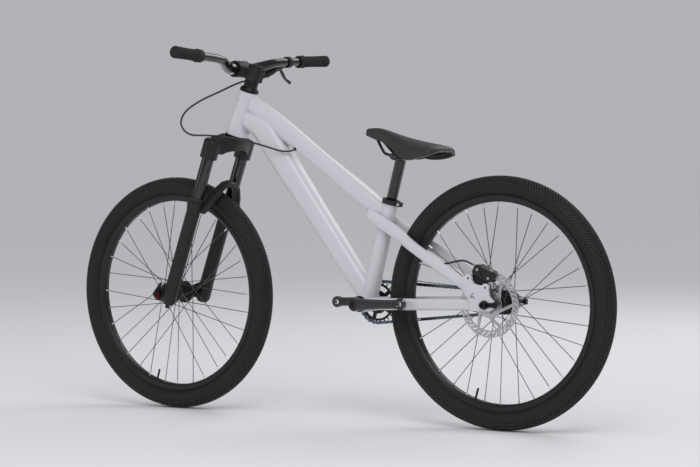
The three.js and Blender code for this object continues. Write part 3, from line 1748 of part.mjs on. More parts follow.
// Brake hoses, along smooth lines through their routes.
function hoseForm(route) {
  const places = route.map((point) => new THREE.Vector3(...point));
  const curve = new THREE.CatmullRomCurve3(places, false, 'centripetal');
  const outline = circle(0, 0, hoseDiameter / 2, hoseFacets);
  const section = new THREE.Shape(outline.map(([x, y]) => new THREE.Vector2(x, y)));
  const steps = Math.round(curve.getLength() / (3 * hoseDiameter));
  return new THREE.ExtrudeGeometry(section, { steps, extrudePath: curve, bevelEnabled: false });
}

// Seatpost, in the frame of the seat tube's axis.
function seatAxisPoint(along) {
  return bracket.clone().addScaledVector(seatDirection, along);
}

const clampPlace = seatAxisPoint(seatpost.top + seatpost.neck);

// Turns a form round the clamp by the saddle's tilt and places it there.
function onClamp(geometry) {
  return geometry.rotateY(-saddleTilt).translate(clampPlace.x, 0, clampPlace.z);
}

function seatpostForm() {
  const tube = rodUp(seatpost.radius, seatpost.bottom, seatpost.top + seatpost.neck / 2);
  const post = onAxis(tube, bracket, seatLean);
  const half = seatpost.headLength / 2;
  const top = -seam;
  const headOutline = [
    [-half, top],
    [-half, -seatpost.headHeight / 2],
    [-half / 2, -seatpost.headHeight],
    [half / 2, -seatpost.headHeight],
    [half, -seatpost.headHeight / 2],
    [half, top],
  ];
  const head = onClamp(plate(headOutline, -seatpost.headHalf, seatpost.headHalf));
  return cut(join(post, head), ...railGrooves());
}

// Grooves along the two rails, for the head below them and the clamp above.
function railGrooves() {
  const length = 2 * seatpost.headLength;
  return [1, -1].map((side) => {
    const groove = rod(boreFor(rail.radius, slimFacets), -length, length, slimFacets).rotateZ(-Math.PI / 2);
    return onClamp(groove.translate(0, side * rail.half, 0));
  });
}

function railClampForm() {
  const half = railClamp.length / 2;
  const outline = [
    [-half, seam],
    [half, seam],
    [half, railClamp.height / 2],
    [half / 2, railClamp.height],
    [-half / 2, railClamp.height],
    [-half, railClamp.height / 2],
  ];
  const form = onClamp(plate(outline, -seatpost.headHalf, seatpost.headHalf));
  return cut(form, ...railGrooves());
}

// Saddle rails: one rod from the rear of the saddle, through the clamp, round the nose and back.
function railsForm() {
  const half = [
    [-rail.rearReach, rail.rearHalf, rail.rearRise],
    [-(rail.rearReach + rail.flat) / 2, (rail.rearHalf + rail.half) / 2, rail.rearRise / 2],
    [-rail.flat - rail.radius, rail.half, rail.radius / 4],
    [-rail.flat, rail.half, 0],
    [rail.flat - rail.radius, rail.half, 0],
    [rail.flat + rail.radius, rail.half - rail.radius / 4, rail.radius / 2],
    [rail.noseReach - rail.radius, rail.noseHalf, rail.noseRise - rail.radius / 2],
    [rail.noseReach + rail.radius / 4, rail.noseHalf / 2, rail.noseRise],
  ].map(([x, y, z]) => new THREE.Vector3(x, y, z));
  const path = [...half, ...[...half].reverse().map(mirrorPoint)];
  const radii = path.map(() => rail.radius);
  return onClamp(bentRod(path, radii, slimFacets, new THREE.Vector3(0, 0, 1)));
}

// One ring of the saddle: a half section and its mirror image between the underside and the top.
function saddleRing(x, half, bottom, top, shares) {
  return bothSides([...shares].reverse()).map(([side, rise]) => (
    new THREE.Vector3(x, side * half, THREE.MathUtils.lerp(bottom, top, rise))
  ));
}

function saddleRow(along) {
  const rows = saddle.rowShares;
  const after = Math.max(rows.findIndex(([place]) => place >= along), 1);
  const [low, high] = [rows[after - 1], rows[after]];
  const share = (along - low[0]) / (high[0] - low[0]);
  return low.map((value, i) => THREE.MathUtils.lerp(value, high[i], share));
}

function saddleForm() {
  const at = ([along, top, bottom, half]) => ({
    x: saddle.nose - along * saddle.length,
    top: saddle.floor + top * saddle.height,
    bottom: saddle.floor + bottom * saddle.height,
    half: half * saddle.half,
  });
  const outer = saddle.rowShares.map(at).map(({ x, top, bottom, half }) => (
    saddleRing(x, half, bottom, top, saddle.sectionShares)
  ));
  const [first, last] = [saddle.hollowStart, saddle.hollowEnd];
  const inside = saddle.rowShares.map(([along]) => along).filter((along) => along > first && along < last);
  const hollow = [first, ...inside, last];
  const inner = hollow.map((along) => at(saddleRow(along))).map(({ x, top, bottom, half }) => (
    saddleRing(x, half - saddle.wall, bottom - overrun, top - saddle.ceiling, saddle.hollowShares)
  ));
  return cut(loft(outer), loft(inner));
}

const finishes = {
  paint: { color: 0xd2d0d7, roughness: 0.38, metalness: 0.1 },
  blackMetal: { color: 0x1b1b1e, roughness: 0.5, metalness: 0.4 },
  matteBlack: { color: 0x232327, roughness: 0.7, metalness: 0.1 },
  gloss: { color: 0x16161a, roughness: 0.15, metalness: 0.6 },
  steel: { color: 0xb9bbbf, roughness: 0.35, metalness: 0.9 },
  darkRed: { color: 0x4b1518, roughness: 0.5, metalness: 0.4 },
  tyreRubber: { color: 0x232325, roughness: 0.9, metalness: 0 },
  gripRubber: { color: 0x313032, roughness: 0.95, metalness: 0 },
  leather: { color: 0x5a5a5c, roughness: 0.6, metalness: 0 },
  hose: { color: 0x2c2c2f, roughness: 0.6, metalness: 0 },
};

function mesh(name, geometry, finish) {
  const closed = toGeometry(toSolid(geometry));
  const made = new THREE.Mesh(closed, new THREE.MeshStandardMaterial(finishes[finish]));
  made.name = name;
  return made;
}

function frameGroup() {
  const group = new THREE.Group();
  group.add(
    mesh('head_tube', headTubeForm(), 'paint'),
    mesh('top_tube', topTubeForm(), 'paint'),
    mesh('down_tube', downTubeForm(), 'paint'),
    mesh('seat_tube', seatTubeForm(), 'paint'),
    mesh('bottom_bracket_shell', shellForm(), 'paint'),
    mesh('headset_upper_cup', upperCupForm(), 'blackMetal'),
    mesh('headset_lower_cup', lowerCupForm(), 'blackMetal'),
    mesh('seat_clamp', collarForm(), 'blackMetal'),
    mesh('rear_axle', rearBoltForm(), 'blackMetal'),
    mesh('brake_caliper', caliperForm(), 'blackMetal'),
    mesh('caliper_bracket', bracketPlateForm(), 'blackMetal'),
    mesh('brake_pad_inner', padForm(-1), 'steel'),
    mesh('brake_pad_outer', padForm(1), 'steel'),
    mesh('brake_hose', hoseForm(hoseRoute), 'hose'),
    mesh('brake_hose_rear', hoseForm(rearHoseRoute), 'hose'),
  );
  for (const [name, side] of [['left', 1], ['right', -1]]) {
    group.add(
      mesh(`chainstay_${name}`, chainstayForm(side), 'paint'),
      mesh(`seatstay_${name}`, seatstayForm(side), 'paint'),
      mesh(`dropout_${name}`, dropoutForm(side), 'paint'),
      mesh(`tensioner_${name}`, tensionerForm(side), 'blackMetal'),
      mesh(`bb_cup_${name}`, bracketCupForm(side), 'blackMetal'),
    );
  }
  return group;
}

// The fork, stem and their parts stand on the steering axis.
function steeringGroup() {
  const group = new THREE.Group();
  group.position.copy(headFoot);
  group.rotation.y = headLean;
  group.add(
    mesh('fork_crown', crownForm(), 'matteBlack'),
    mesh('headset_spacers', spacersForm(), 'blackMetal'),
    mesh('stem', stemForm(), 'blackMetal'),
    mesh('stem_faceplate', faceplateForm(), 'blackMetal'),
    mesh('stem_cap', capForm(), 'blackMetal'),
    mesh('fork_lowers', lowersForm(), 'matteBlack'),
  );
  for (const [name, side] of [['left', 1], ['right', -1]]) {
    const tube = mesh(`stanchion_${name}`, stanchionForm(), 'gloss');
    const wiper = mesh(`seal_${name}`, sealForm(), 'matteBlack');
    for (const made of [tube, wiper]) {
      made.position.set(fork.lead, side * fork.spread, 0);
      group.add(made);
    }
  }
  const axle = mesh('front_axle', frontAxleForm(), 'darkRed');
  axle.position.set(fork.axleLead, 0, -fork.axleDrop);
  const handle = mesh('axle_lever', axleLeverForm(), 'blackMetal');
  handle.position.set(fork.axleLead, axlePivotSide, -fork.axleDrop);
  handle.rotation.y = -THREE.MathUtils.degToRad(axleLever.lean);
  const knob = mesh('rebound_knob', reboundKnobForm(), 'blackMetal');
  knob.position.set(fork.lead, fork.spread, 0);
  group.add(axle, handle, knob);
  return group;
}

const axlePivotSide = lowers.bossOuter + seam + frontAxle.headLength + seam + axleLever.thickness / 2;

function cockpitGroup() {
  const group = new THREE.Group();
  group.add(
    mesh('handlebar', barForm(), 'blackMetal'),
    mesh('grip_left', gripForm(1), 'gripRubber'),
    mesh('grip_right', gripForm(-1), 'gripRubber'),
    mesh('brake_lever_body', leverBodyForm(), 'blackMetal'),
    mesh('brake_lever_blade', leverBladeForm(), 'blackMetal'),
  );
  return group;
}

function wheelGroup(name, middle, hubMesh) {
  const group = new THREE.Group();
  group.position.copy(middle);
  group.add(
    mesh(`${name}_tyre`, tyreForm(), 'tyreRubber'),
    mesh(`${name}_rim`, rimForm(), 'blackMetal'),
    hubMesh,
  );
  return group;
}

function driveGroup() {
  const group = new THREE.Group();
  group.add(
    mesh('crank_spindle', spindleForm(), 'blackMetal'),
    mesh('crank_arm_left', crankForm(1), 'blackMetal'),
    mesh('crank_arm_right', crankForm(-1), 'blackMetal'),
    mesh('chainring', ringForm(), 'blackMetal'),
    mesh('sprocket', freehubForm(), 'steel'),
    mesh('chain', chainForm(), 'steel'),
  );
  return group;
}

function seatGroup() {
  const group = new THREE.Group();
  group.add(
    mesh('seatpost', seatpostForm(), 'gloss'),
    mesh('saddle_rails', railsForm(), 'steel'),
    mesh('rail_clamp', railClampForm(), 'blackMetal'),
    mesh('saddle', saddleForm(), 'leather'),
  );
  return group;
}

const frontAxlePlace = new THREE.Vector3(wheelBase / 2, 0, tyreRadius);
const rearHubMesh = mesh('rear_hub', hubForm(rearHub, rearBolt.radius), 'blackMetal');
const rearWheel = wheelGroup('rear', rearAxle, rearHubMesh);
rearWheel.add(mesh('brake_rotor', rotorForm(), 'steel'));

const bike = new THREE.Group();
bike.add(
  frameGroup(),
  steeringGroup(),
  cockpitGroup(),
  wheelGroup('front', frontAxlePlace, mesh('front_hub', hubForm(frontHub, frontAxle.radius), 'blackMetal')),
  rearWheel,
  driveGroup(),
  seatGroup(),
);

export default bike;
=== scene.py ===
"""Dirt jump bike, dressed over its fixed frame.

Lengths in the tables are millimetres, in the frame's axes.
"""

import math

import bmesh
import bpy
import numpy as np
from bpy.props import FloatProperty, FloatVectorProperty, IntProperty, PointerProperty
from mathutils import Matrix, Vector
from mathutils.bvhtree import BVHTree


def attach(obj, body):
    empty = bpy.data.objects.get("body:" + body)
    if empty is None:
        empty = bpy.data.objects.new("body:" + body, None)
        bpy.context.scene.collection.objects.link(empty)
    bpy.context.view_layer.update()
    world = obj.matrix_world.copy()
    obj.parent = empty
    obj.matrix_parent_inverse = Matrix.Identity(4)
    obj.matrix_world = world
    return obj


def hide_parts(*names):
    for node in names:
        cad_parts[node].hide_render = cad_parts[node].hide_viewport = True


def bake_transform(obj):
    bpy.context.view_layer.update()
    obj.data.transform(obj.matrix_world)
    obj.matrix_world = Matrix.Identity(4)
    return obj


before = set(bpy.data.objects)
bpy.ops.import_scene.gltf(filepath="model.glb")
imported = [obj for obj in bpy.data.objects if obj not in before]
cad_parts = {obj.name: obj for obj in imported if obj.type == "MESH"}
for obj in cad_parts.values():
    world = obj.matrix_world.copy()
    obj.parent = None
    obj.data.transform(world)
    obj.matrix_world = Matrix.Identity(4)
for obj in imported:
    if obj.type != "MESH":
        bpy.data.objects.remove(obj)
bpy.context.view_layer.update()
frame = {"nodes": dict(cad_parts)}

bl_info = {
    "name": "Dirt Jump Bike",
    "version": (1, 0, 0),
    "blender": (4, 5, 0),
    "location": "View3D > Sidebar > Bike",
    "description": "Builds the skins, wheels, drive and small parts of a dirt jump bike over its frame",
    "category": "Object",
}

MM = 0.001
SIDES = (("left", 1), ("right", -1))
CROSS = Vector((0, 1, 0))
UP = Vector((0, 0, 1))

# Main places of the bike.
REAR_AXLE = Vector((-492.5, 0, 305.5))
FRONT_AXLE = Vector((492.5, 0, 305.5))
BRACKET = Vector((-113.65, 0, 295))
HEAD_TOP = Vector((248.3, 0, 830.3))
HEAD_AXIS = Vector((-0.34202, 0, 0.939693))
HEAD_FORWARD = Vector((0.939693, 0, 0.34202))
SEAT_AXIS = Vector((-0.27228, 0, 0.962219))
FORK_SPREAD = 72
FORK_LEAD = 16.7
ROTOR_PLANE = 51.2
CHAIN_LINE = 45
CHAIN_PITCH = 12.7
RING_TEETH = 26
COG_TEETH = 12
CHAINSTAY_LENGTH = 379

# The photo's camera: azimuth, elevation and roll in degrees, distance and target in metres, the focal
# length and the picture's width in pixels, the sensor's width in millimetres.
CAMERA_ANGLES = (213.88, 1.91, -0.55)
CAMERA_DISTANCE = 5.244
CAMERA_TARGET = Vector((-0.0614, 0, 0.4676))
CAMERA_FOCAL = 2095
PICTURE_WIDTH = 700
SENSOR_WIDTH = 36

# Formed tubes. A row holds its share of the way from start to end, rise and offset, width and height.
TOP_TUBE = [
    (0, 0, 0, 34, 42),
    (0.118, 3.1, 0, 36, 47),
    (0.546, 3.4, 0, 36, 45),
    (0.942, 3.3, 0, 38, 41),
    (1, 3.1, 0, 28, 37),
]
DOWN_TUBE = [
    (0, 0, 0, 38, 50),
    (0.086, 3.2, 0, 44, 53),
    (0.438, 15.6, 0, 50, 57),
    (0.8025, 28.3, 0, 52, 65),
    (0.8876, 31.3, 0, 49, 65),
    (1, 0, 0, 40, 52),
]
CHAINSTAY = [
    (0, 0, 21, 16, 28.8),
    (0.048, 0, 22, 17, 30),
    (0.16, 0, 29, 17, 30),
    (0.272, 0, 40, 17, 29),
    (0.398, 0, 47, 16, 28.5),
    (0.622, 0, 56, 15, 28),
    (0.824, 0, 62, 14, 28),
    (1, 0, 66, 14, 27),
]
SEATSTAY = [
    (0, 0, 20, 8, 24),
    (0.12, 0, 24, 14, 32),
    (0.236, 0, 26, 14, 31),
    (0.347, 0, 33, 14, 29.4),
    (0.417, 0, 40, 14, 28),
    (0.662, 0, 50, 13.3, 27),
    (0.918, 0, 60, 13, 24),
    (1, 0, 64, 13, 24),
]

# Outlines of the two turned tubes: radius and height along each one's axis.
HEAD_TUBE = [
    (19.3, -14),
    (24.5, -103),
    (27, -103),
    (27, -117),
    (30.4, -117),
    (31, -116.4),
    (31, -104.5),
    (30.2, -101),
    (27.9, -60),
    (25.2, -13),
    (25.6, -9),
    (25.6, -0.6),
    (25, 0),
    (21, 0),
    (21, -14),
]
SEAT_TUBE = [
    (13.9, 30),
    (13.9, 256.5),
    (18.6, 256.5),
    (19, 256),
    (19, 235),
    (21.7, 20),
    (21.7, 0),
    (0, 0),
    (0, 30),
]

# Each tube's table, the two points of the middle plane that it runs between, and its section's corners.
TUBES = {
    "top_tube": (TOP_TUBE, (255.8, 0, 809.6), (-173, 0, 511), 14),
    "down_tube": (DOWN_TUBE, (-116.6, 0, 313), (268, 0, 766), 19),
    "chainstay": (CHAINSTAY, (-118, 0, 294.5), (-475, 0, 305), 7),
    "seatstay": (SEATSTAY, (-130, 0, 521), (-449, 0, 338), 6.5),
}

# Outline of the tyre from its bead to the middle of its crown: radius and place across.
TYRE_HALF = [
    (254, 12.2),
    (259.6, 12.6),
    (263, 17.5),
    (269, 23.2),
    (277, 26.3),
    (285, 26.2),
    (292, 23.4),
    (297.5, 18),
    (300.8, 10.5),
    (302.4, 3.5),
]

# Half of the rim's outline in the same terms, and the places across of the tread's rows.
RIM_HALF = [
    (243, 7.5),
    (244.2, 9.5),
    (249.4, 13.6),
    (250.6, 14),
    (258.6, 14),
    (259, 13.6),
    (259, 12.8),
    (253.5, 12.6),
]
TREAD_ROWS = (0, 4.9, 9.7, 14.2, 18.3, 21.8, 24.6)

# Radius round which the tread's blocks lean, the blocks' length and width, and how deep they are set.
TREAD_CENTRE = 277
BLOCK_LENGTH = 5.3
BLOCK_WIDTH = 3.7
BLOCK_DEPTH = 0.8

# Spokes: how far each leans round the hub, the radii of their feet and heads, and their nipples' length
# inside and sunk into the rim. Then the valve's foot, its place round the wheel and the lengths of its
# stem and of the whole.
SPOKE_LEAN = math.radians(67.5)
SPOKE_CIRCLE = 27
SPOKE_HEAD = 242.6
NIPPLE_LENGTH = 11
NIPPLE_SUNK = 0.6
VALVE_FOOT = 243.5
VALVE_ANGLE = 2.847
VALVE_STEM = 18
VALVE_LENGTH = 27

# Weld beads: how far apart their drops are, and half a drop's length.
BEAD_PITCH = 2.4
BEAD_HALF = 1.9

# The rotor's radius, the depth of its wavy edge, its thickness, and the corners of a slot: radius, half
# width and lean.
ROTOR_RADIUS = 80
ROTOR_WAVE = 0.8
ROTOR_THICKNESS = 1.8
SLOT_CORNERS = ((65.2, -2, 0), (76.2, -2, 0.13), (76.2, 2, 0.13), (65.2, 2, 0))

# Saddle rows: share from the nose to the tail, heights of the top and the edge, half width.
SADDLE_ROWS = [
    (0, 722, 714, 6),
    (0.012, 727, 712, 13),
    (0.05, 729.2, 710, 18.5),
    (0.119, 730, 704, 20.5),
    (0.251, 724, 694, 22.4),
    (0.383, 714, 678, 29.7),
    (0.515, 705, 660, 44.9),
    (0.634, 698, 650.6, 58),
    (0.78, 691, 651.6, 66),
    (0.89, 686, 656.5, 65.3),
    (0.969, 681, 663, 52),
    (1, 675, 669, 30),
]
SADDLE_NOSE = -118
SADDLE_LENGTH = 227

# Section of the saddle's base: share of its half width, and rise.
SADDLE_BASE = [
    (-1, 0),
    (-0.5, 2.5),
    (0, 3.2),
    (0.5, 2.5),
    (1, 0),
    (1, 3),
    (0.5, 5.5),
    (0, 6.2),
    (-0.5, 5.5),
    (-1, 3),
]

# Half of the saddle's rails, round the clamp on the seatpost: along, across and up.
CLAMP_HEIGHT = 379
SADDLE_TILT = math.radians(-10)
RAIL_HALF = [
    (-102, 35, 23.3),
    (-68, 28.5, 11.6),
    (-40, 22.6, 1.6),
    (-34, 22, 0),
    (30.5, 22, 0),
    (37.5, 21.1, 1.8),
    (70.5, 9, 29.2),
    (74.9, 4.5, 31),
]

# Routes of the two brake hoses.
HOSE_ROUTE = [
    (284.5, -97.6, 869.8),
    (288, -90.5, 865.7),
    (310, -55, 859.5),
    (355, -15, 833.5),
    (399, 15, 808.5),
    (426, 36, 784),
    (434, 46, 764),
    (433, 50, 751),
    (420, 54, 733.5),
    (395, 57, 721.5),
    (350, 60, 719),
    (300, 62, 716),
    (240, 61, 708),
    (188.6, 54, 696),
    (156, 44, 686),
    (124, 33, 676),
    (102, 22, 676),
    (88, 12, 684),
    (76, 4, 692),
]
REAR_HOSE_ROUTE = [
    (-338, 50.5, 401),
    (-345.5, 46.2, 398.8),
    (-354, 42.6, 398),
    (-375, 40, 401.5),
    (-398, 41.5, 406),
    (-420, 46, 408),
    (-440, 50, 402.2),
    (-457.2, 50, 394.3),
]


class BikeSizes(bpy.types.PropertyGroup):
    """Sizes of the bike's visible detail."""

    tread_height: FloatProperty(
        name="Tread height",
        description="Height of the tyre's blocks",
        default=2.9 * MM,
        unit="LENGTH",
    )
    tread_count: IntProperty(name="Tread rows", description="Rows of blocks round a tyre", default=236)
    spoke_size: FloatProperty(
        name="Spoke size",
        description="Diameter of a spoke",
        default=2 * MM,
        unit="LENGTH",
    )
    hose_size: FloatProperty(
        name="Hose size",
        description="Diameter of the brake hose",
        default=5 * MM,
        unit="LENGTH",
    )
    bead_size: FloatProperty(
        name="Weld bead",
        description="Half width of a weld bead",
        default=2.7 * MM,
        unit="LENGTH",
    )
    cover_wall: FloatProperty(
        name="Saddle cover",
        description="Thickness of the saddle's foam and skin",
        default=7 * MM,
        unit="LENGTH",
    )


class BikeColours(bpy.types.PropertyGroup):
    """Colours of the bike's finishes."""

    frame: FloatVectorProperty(
        name="Frame paint",
        description="Colour of the frame",
        default=(0.6, 0.592, 0.635),
        subtype="COLOR",
    )
    metal: FloatVectorProperty(
        name="Black metal",
        description="Colour of black fittings",
        default=(0.013, 0.013, 0.014),
        subtype="COLOR",
    )
    tyre: FloatVectorProperty(
        name="Tyre rubber",
        description="Colour of the tyres",
        default=(0.0115, 0.0115, 0.012),
        subtype="COLOR",
    )
    grip: FloatVectorProperty(
        name="Grip rubber",
        description="Colour of the grips",
        default=(0.024, 0.0232, 0.0236),
        subtype="COLOR",
    )
    saddle: FloatVectorProperty(
        name="Saddle cover",
        description="Colour of the saddle",
        default=(0.03, 0.03, 0.031),
        subtype="COLOR",
    )
    axle: FloatVectorProperty(
        name="Axle",
        description="Colour of the front axle",
        default=(0.13, 0.012, 0.016),
        subtype="COLOR",
    )


# The materials by name, filled by make_finishes.
finishes = {}


def leave_edit_mode():
    """Goes back to object mode if an object is being edited."""
    if bpy.context.object is not None and bpy.context.object.mode != "OBJECT":
        bpy.ops.object.mode_set(mode="OBJECT")


def only(piece):
    """Selects one piece alone and makes it the active one."""
    leave_edit_mode()
    bpy.ops.object.select_all(action="DESELECT")
    piece.select_set(True)
    bpy.context.view_layer.objects.active = piece


def primitive(kind, name, **options):
    """A new primitive as the active object, with nothing else selected."""
    leave_edit_mode()
    bpy.ops.object.select_all(action="DESELECT")
    getattr(bpy.ops.mesh, f"primitive_{kind}_add")(**options)
    piece = bpy.context.object
    piece.name = name
    piece.data.name = name
    return piece


def placed(name, data):
    """A new object in the scene, with its data."""
    piece = bpy.data.objects.new(name, data)
    bpy.context.scene.collection.objects.link(piece)
    return piece


def meshed(name, curve):
    """A curve as a mesh object."""
    only(placed(name, curve))
    bpy.ops.object.convert(target="MESH")
    return bpy.context.object


def edit_all():
    """Edits the active object, with all of it selected."""
    bpy.ops.object.mode_set(mode="EDIT")
    bpy.ops.mesh.select_all(action="SELECT")


def close_up(piece, smooth):
    """Merges doubles, turns the faces outward and smooths all but the sharp edges."""
    only(piece)
    edit_all()
    bpy.ops.mesh.remove_doubles(threshold=0.01 * MM)
    bpy.ops.mesh.dissolve_degenerate(threshold=0.01 * MM)
    bpy.ops.mesh.normals_make_consistent(inside=False)
    bpy.ops.object.mode_set(mode="OBJECT")
    bpy.ops.object.shade_smooth_by_angle(angle=math.radians(smooth))
    return piece


def settle(piece, body, finish, nodes=()):
    """Gives a finished piece its material, its body and the nodes it stands for."""
    piece.data.materials.clear()
    piece.data.materials.append(finishes[finish])
    if nodes:
        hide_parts(*nodes)
    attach(piece, body)
    return piece


def joined(name, pieces):
    """One object out of several."""
    leave_edit_mode()
    bpy.ops.object.select_all(action="DESELECT")
    for piece in pieces:
        piece.select_set(True)
    bpy.context.view_layer.objects.active = pieces[0]
    if len(pieces) > 1:
        bpy.ops.object.join()
    whole = bpy.context.object
    whole.name = name
    whole.data.name = name
    return whole


def copied(piece, name, matrix):
    """A copy with its own mesh, moved there by a matrix."""
    twin = piece.copy()
    twin.data = piece.data.copy()
    twin.name = name
    twin.data.name = name
    bpy.context.scene.collection.objects.link(twin)
    twin.data.transform(matrix)
    return twin


def drop(piece):
    """Deletes an object that only helped to make others."""
    bpy.data.objects.remove(piece, do_unlink=True)


def apply_modifier(piece, kind, **options):
    """Applies a modifier with the settings given."""
    only(piece)
    modifier = piece.modifiers.new(kind.title(), kind)
    for key, value in options.items():
        setattr(modifier, key, value)
    bpy.ops.object.modifier_apply(modifier=modifier.name)


def along_axis(place, axis):
    """Matrix from a form drawn up the Z axis, in millimetres, to its place in metres."""
    turn = UP.rotation_difference(Vector(axis)).to_matrix().to_4x4()
    return Matrix.Translation(Vector(place) * MM) @ turn @ Matrix.Scale(MM, 4)


def turned(name, profile, place, axis, segments, smooth=35):
    """A solid of revolution. The closed profile holds (radius, height) in millimetres."""
    piece = primitive("circle", name, vertices=len(profile), fill_type="NOTHING")
    for vertex, (radius, height) in zip(piece.data.vertices, profile):
        vertex.co = (radius, 0, height)
    edit_all()
    bpy.ops.mesh.spin(steps=segments, angle=2 * math.pi, center=(0, 0, 0), axis=(0, 0, 1))
    bpy.ops.mesh.select_all(action="SELECT")
    bpy.ops.mesh.remove_doubles(threshold=0.002)
    bpy.ops.object.mode_set(mode="OBJECT")
    piece.data.transform(along_axis(place, axis))
    return close_up(piece, smooth)


def both_ways(half):
    """A closed outline from a half one, whose second value changes sign."""
    return half + [(radius, -side) for radius, side in reversed(half)]


def lofted(name, rings):
    """A closed skin through rings of equally many points, for shapes that no primitive gives."""
    mesh = bpy.data.meshes.new(name)
    shape = bmesh.new()
    rows = [[shape.verts.new(Vector(point) * MM) for point in ring] for ring in rings]
    for low, high in zip(rows, rows[1:]):
        for i in range(len(low)):
            j = (i + 1) % len(low)
            shape.faces.new((low[i], low[j], high[j], high[i]))
    shape.faces.new(rows[0])
    shape.faces.new(rows[-1])
    bmesh.ops.recalc_face_normals(shape, faces=shape.faces)
    shape.to_mesh(mesh)
    shape.free()
    return close_up(placed(name, mesh), 40)


def eased(rows, count):
    """Rows of a table resampled along a smooth curve by their first value."""
    table = np.array(rows, float)
    keys = table[:, 0]
    slopes = np.gradient(table, keys, axis=0)
    result = []
    for at in np.linspace(keys[0], keys[-1], count):
        i = int(np.clip(np.searchsorted(keys, at) - 1, 0, len(keys) - 2))
        span = keys[i + 1] - keys[i]
        t = (at - keys[i]) / span
        near = (2 * t**3 - 3 * t**2 + 1) * table[i] + (3 * t**2 - 2 * t**3) * table[i + 1]
        lean = (t**3 - 2 * t**2 + t) * slopes[i] + (t**3 - t**2) * slopes[i + 1]
        row = near + span * lean
        row[0] = at
        result.append([float(value) for value in row])
    return result


def smooth_line(points, spacing):
    """Points every spacing or so along a smooth curve through the given ones."""
    places = [Vector(p) for p in points]
    ends = [2 * places[0] - places[1], *places, 2 * places[-1] - places[-2]]
    result = []
    for before, start, end, after in zip(ends, ends[1:], ends[2:], ends[3:]):
        steps = max(2, round((end - start).length / spacing))
        knots = [0.0]
        for a, b in ((before, start), (start, end), (end, after)):
            knots.append(knots[-1] + math.sqrt((b - a).length))
        for k in range(steps):
            t = knots[1] + (knots[2] - knots[1]) * k / steps
            a1 = before.lerp(start, t / knots[1])
            a2 = start.lerp(end, (t - knots[1]) / (knots[2] - knots[1]))
            a3 = end.lerp(after, (t - knots[2]) / (knots[3] - knots[2]))
            b1 = a1.lerp(a2, t / knots[2])
            b2 = a2.lerp(a3, (t - knots[1]) / (knots[3] - knots[1]))
            result.append(b1.lerp(b2, (t - knots[1]) / (knots[2] - knots[1])))
    return result + [places[-1]]


def swept(name, points, radii, sides):
    """A round rod through points, in millimetres, as a curve with a bevel turned into a mesh."""
    curve = bpy.data.curves.new(name, "CURVE")
    curve.dimensions = "3D"
    curve.bevel_depth = MM
    curve.bevel_resolution = max(0, sides // 4 - 1)
    curve.use_fill_caps = True
    spline = curve.splines.new("POLY")
    spline.points.add(len(points) - 1)
    for point, place, radius in zip(spline.points, points, radii):
        point.co = (*(Vector(place) * MM), 1)
        point.radius = radius
    return close_up(meshed(name, curve), 50)


def plate(name, outlines, thickness, bevel=0.2):
    """A flat plate with holes, drawn in millimetres on X and Z and centred on the middle plane."""
    curve = bpy.data.curves.new(name, "CURVE")
    curve.dimensions = "2D"
    curve.fill_mode = "BOTH"
    curve.extrude = thickness / 2 - bevel
    curve.bevel_depth = bevel
    curve.offset = -bevel
    for outline in outlines:
        spline = curve.splines.new("POLY")
        spline.points.add(len(outline) - 1)
        for point, (x, z) in zip(spline.points, outline):
            point.co = (x, z, 0, 1)
        spline.use_cyclic_u = True
    piece = meshed(name, curve)
    piece.data.transform(Matrix.Scale(MM, 4) @ Matrix.Rotation(math.pi / 2, 4, "X"))
    return close_up(piece, 35)


def round_points(radius, count):
    """Points of a circle on X and Z."""
    angles = [i * 2 * math.pi / count for i in range(count)]
    return [(radius * math.cos(angle), radius * math.sin(angle)) for angle in angles]


def finish(
    name,
    colour,
    roughness,
    metallic,
    grain,
    variation,
    bump,
    coat=0.0,
    shine=0.5,
    stretch=(1, 1, 1),
):
    """A material whose colour, roughness and relief vary with fine noise."""
    material = bpy.data.materials.new(f"finish_{name}")
    finishes[name] = material
    material.use_nodes = True
    nodes = material.node_tree.nodes
    links = material.node_tree.links
    shader = nodes["Principled BSDF"]
    shader.inputs["Metallic"].default_value = metallic
    shader.inputs["Coat Weight"].default_value = coat
    shader.inputs["Coat Roughness"].default_value = 0.12
    shader.inputs["Specular IOR Level"].default_value = shine
    place = nodes.new("ShaderNodeTexCoord")
    spread = nodes.new("ShaderNodeMapping")
    spread.inputs["Scale"].default_value = stretch
    links.new(place.outputs["Object"], spread.inputs["Vector"])
    noise = nodes.new("ShaderNodeTexNoise")
    noise.inputs["Scale"].default_value = grain
    noise.inputs["Detail"].default_value = 3
    links.new(spread.outputs["Vector"], noise.inputs["Vector"])
    broad = nodes.new("ShaderNodeTexNoise")
    broad.inputs["Scale"].default_value = 14
    links.new(place.outputs["Object"], broad.inputs["Vector"])
    mix = nodes.new("ShaderNodeMix")
    mix.data_type = "RGBA"
    mix.inputs[6].default_value = (*[c * (1 - variation) for c in colour], 1)
    mix.inputs[7].default_value = (*[min(1, c * (1 + variation)) for c in colour], 1)
    links.new(broad.outputs["Fac"], mix.inputs[0])
    links.new(mix.outputs[2], shader.inputs["Base Color"])
    rough = nodes.new("ShaderNodeMapRange")
    rough.inputs["To Min"].default_value = max(0.02, roughness * (1 - variation))
    rough.inputs["To Max"].default_value = min(1, roughness * (1 + variation))
    links.new(noise.outputs["Fac"], rough.inputs["Value"])
    links.new(rough.outputs["Result"], shader.inputs["Roughness"])
    relief = nodes.new("ShaderNodeBump")
    relief.inputs["Strength"].default_value = bump
    relief.inputs["Distance"].default_value = 0.2 * MM
    links.new(noise.outputs["Fac"], relief.inputs["Height"])
    links.new(relief.outputs["Normal"], shader.inputs["Normal"])


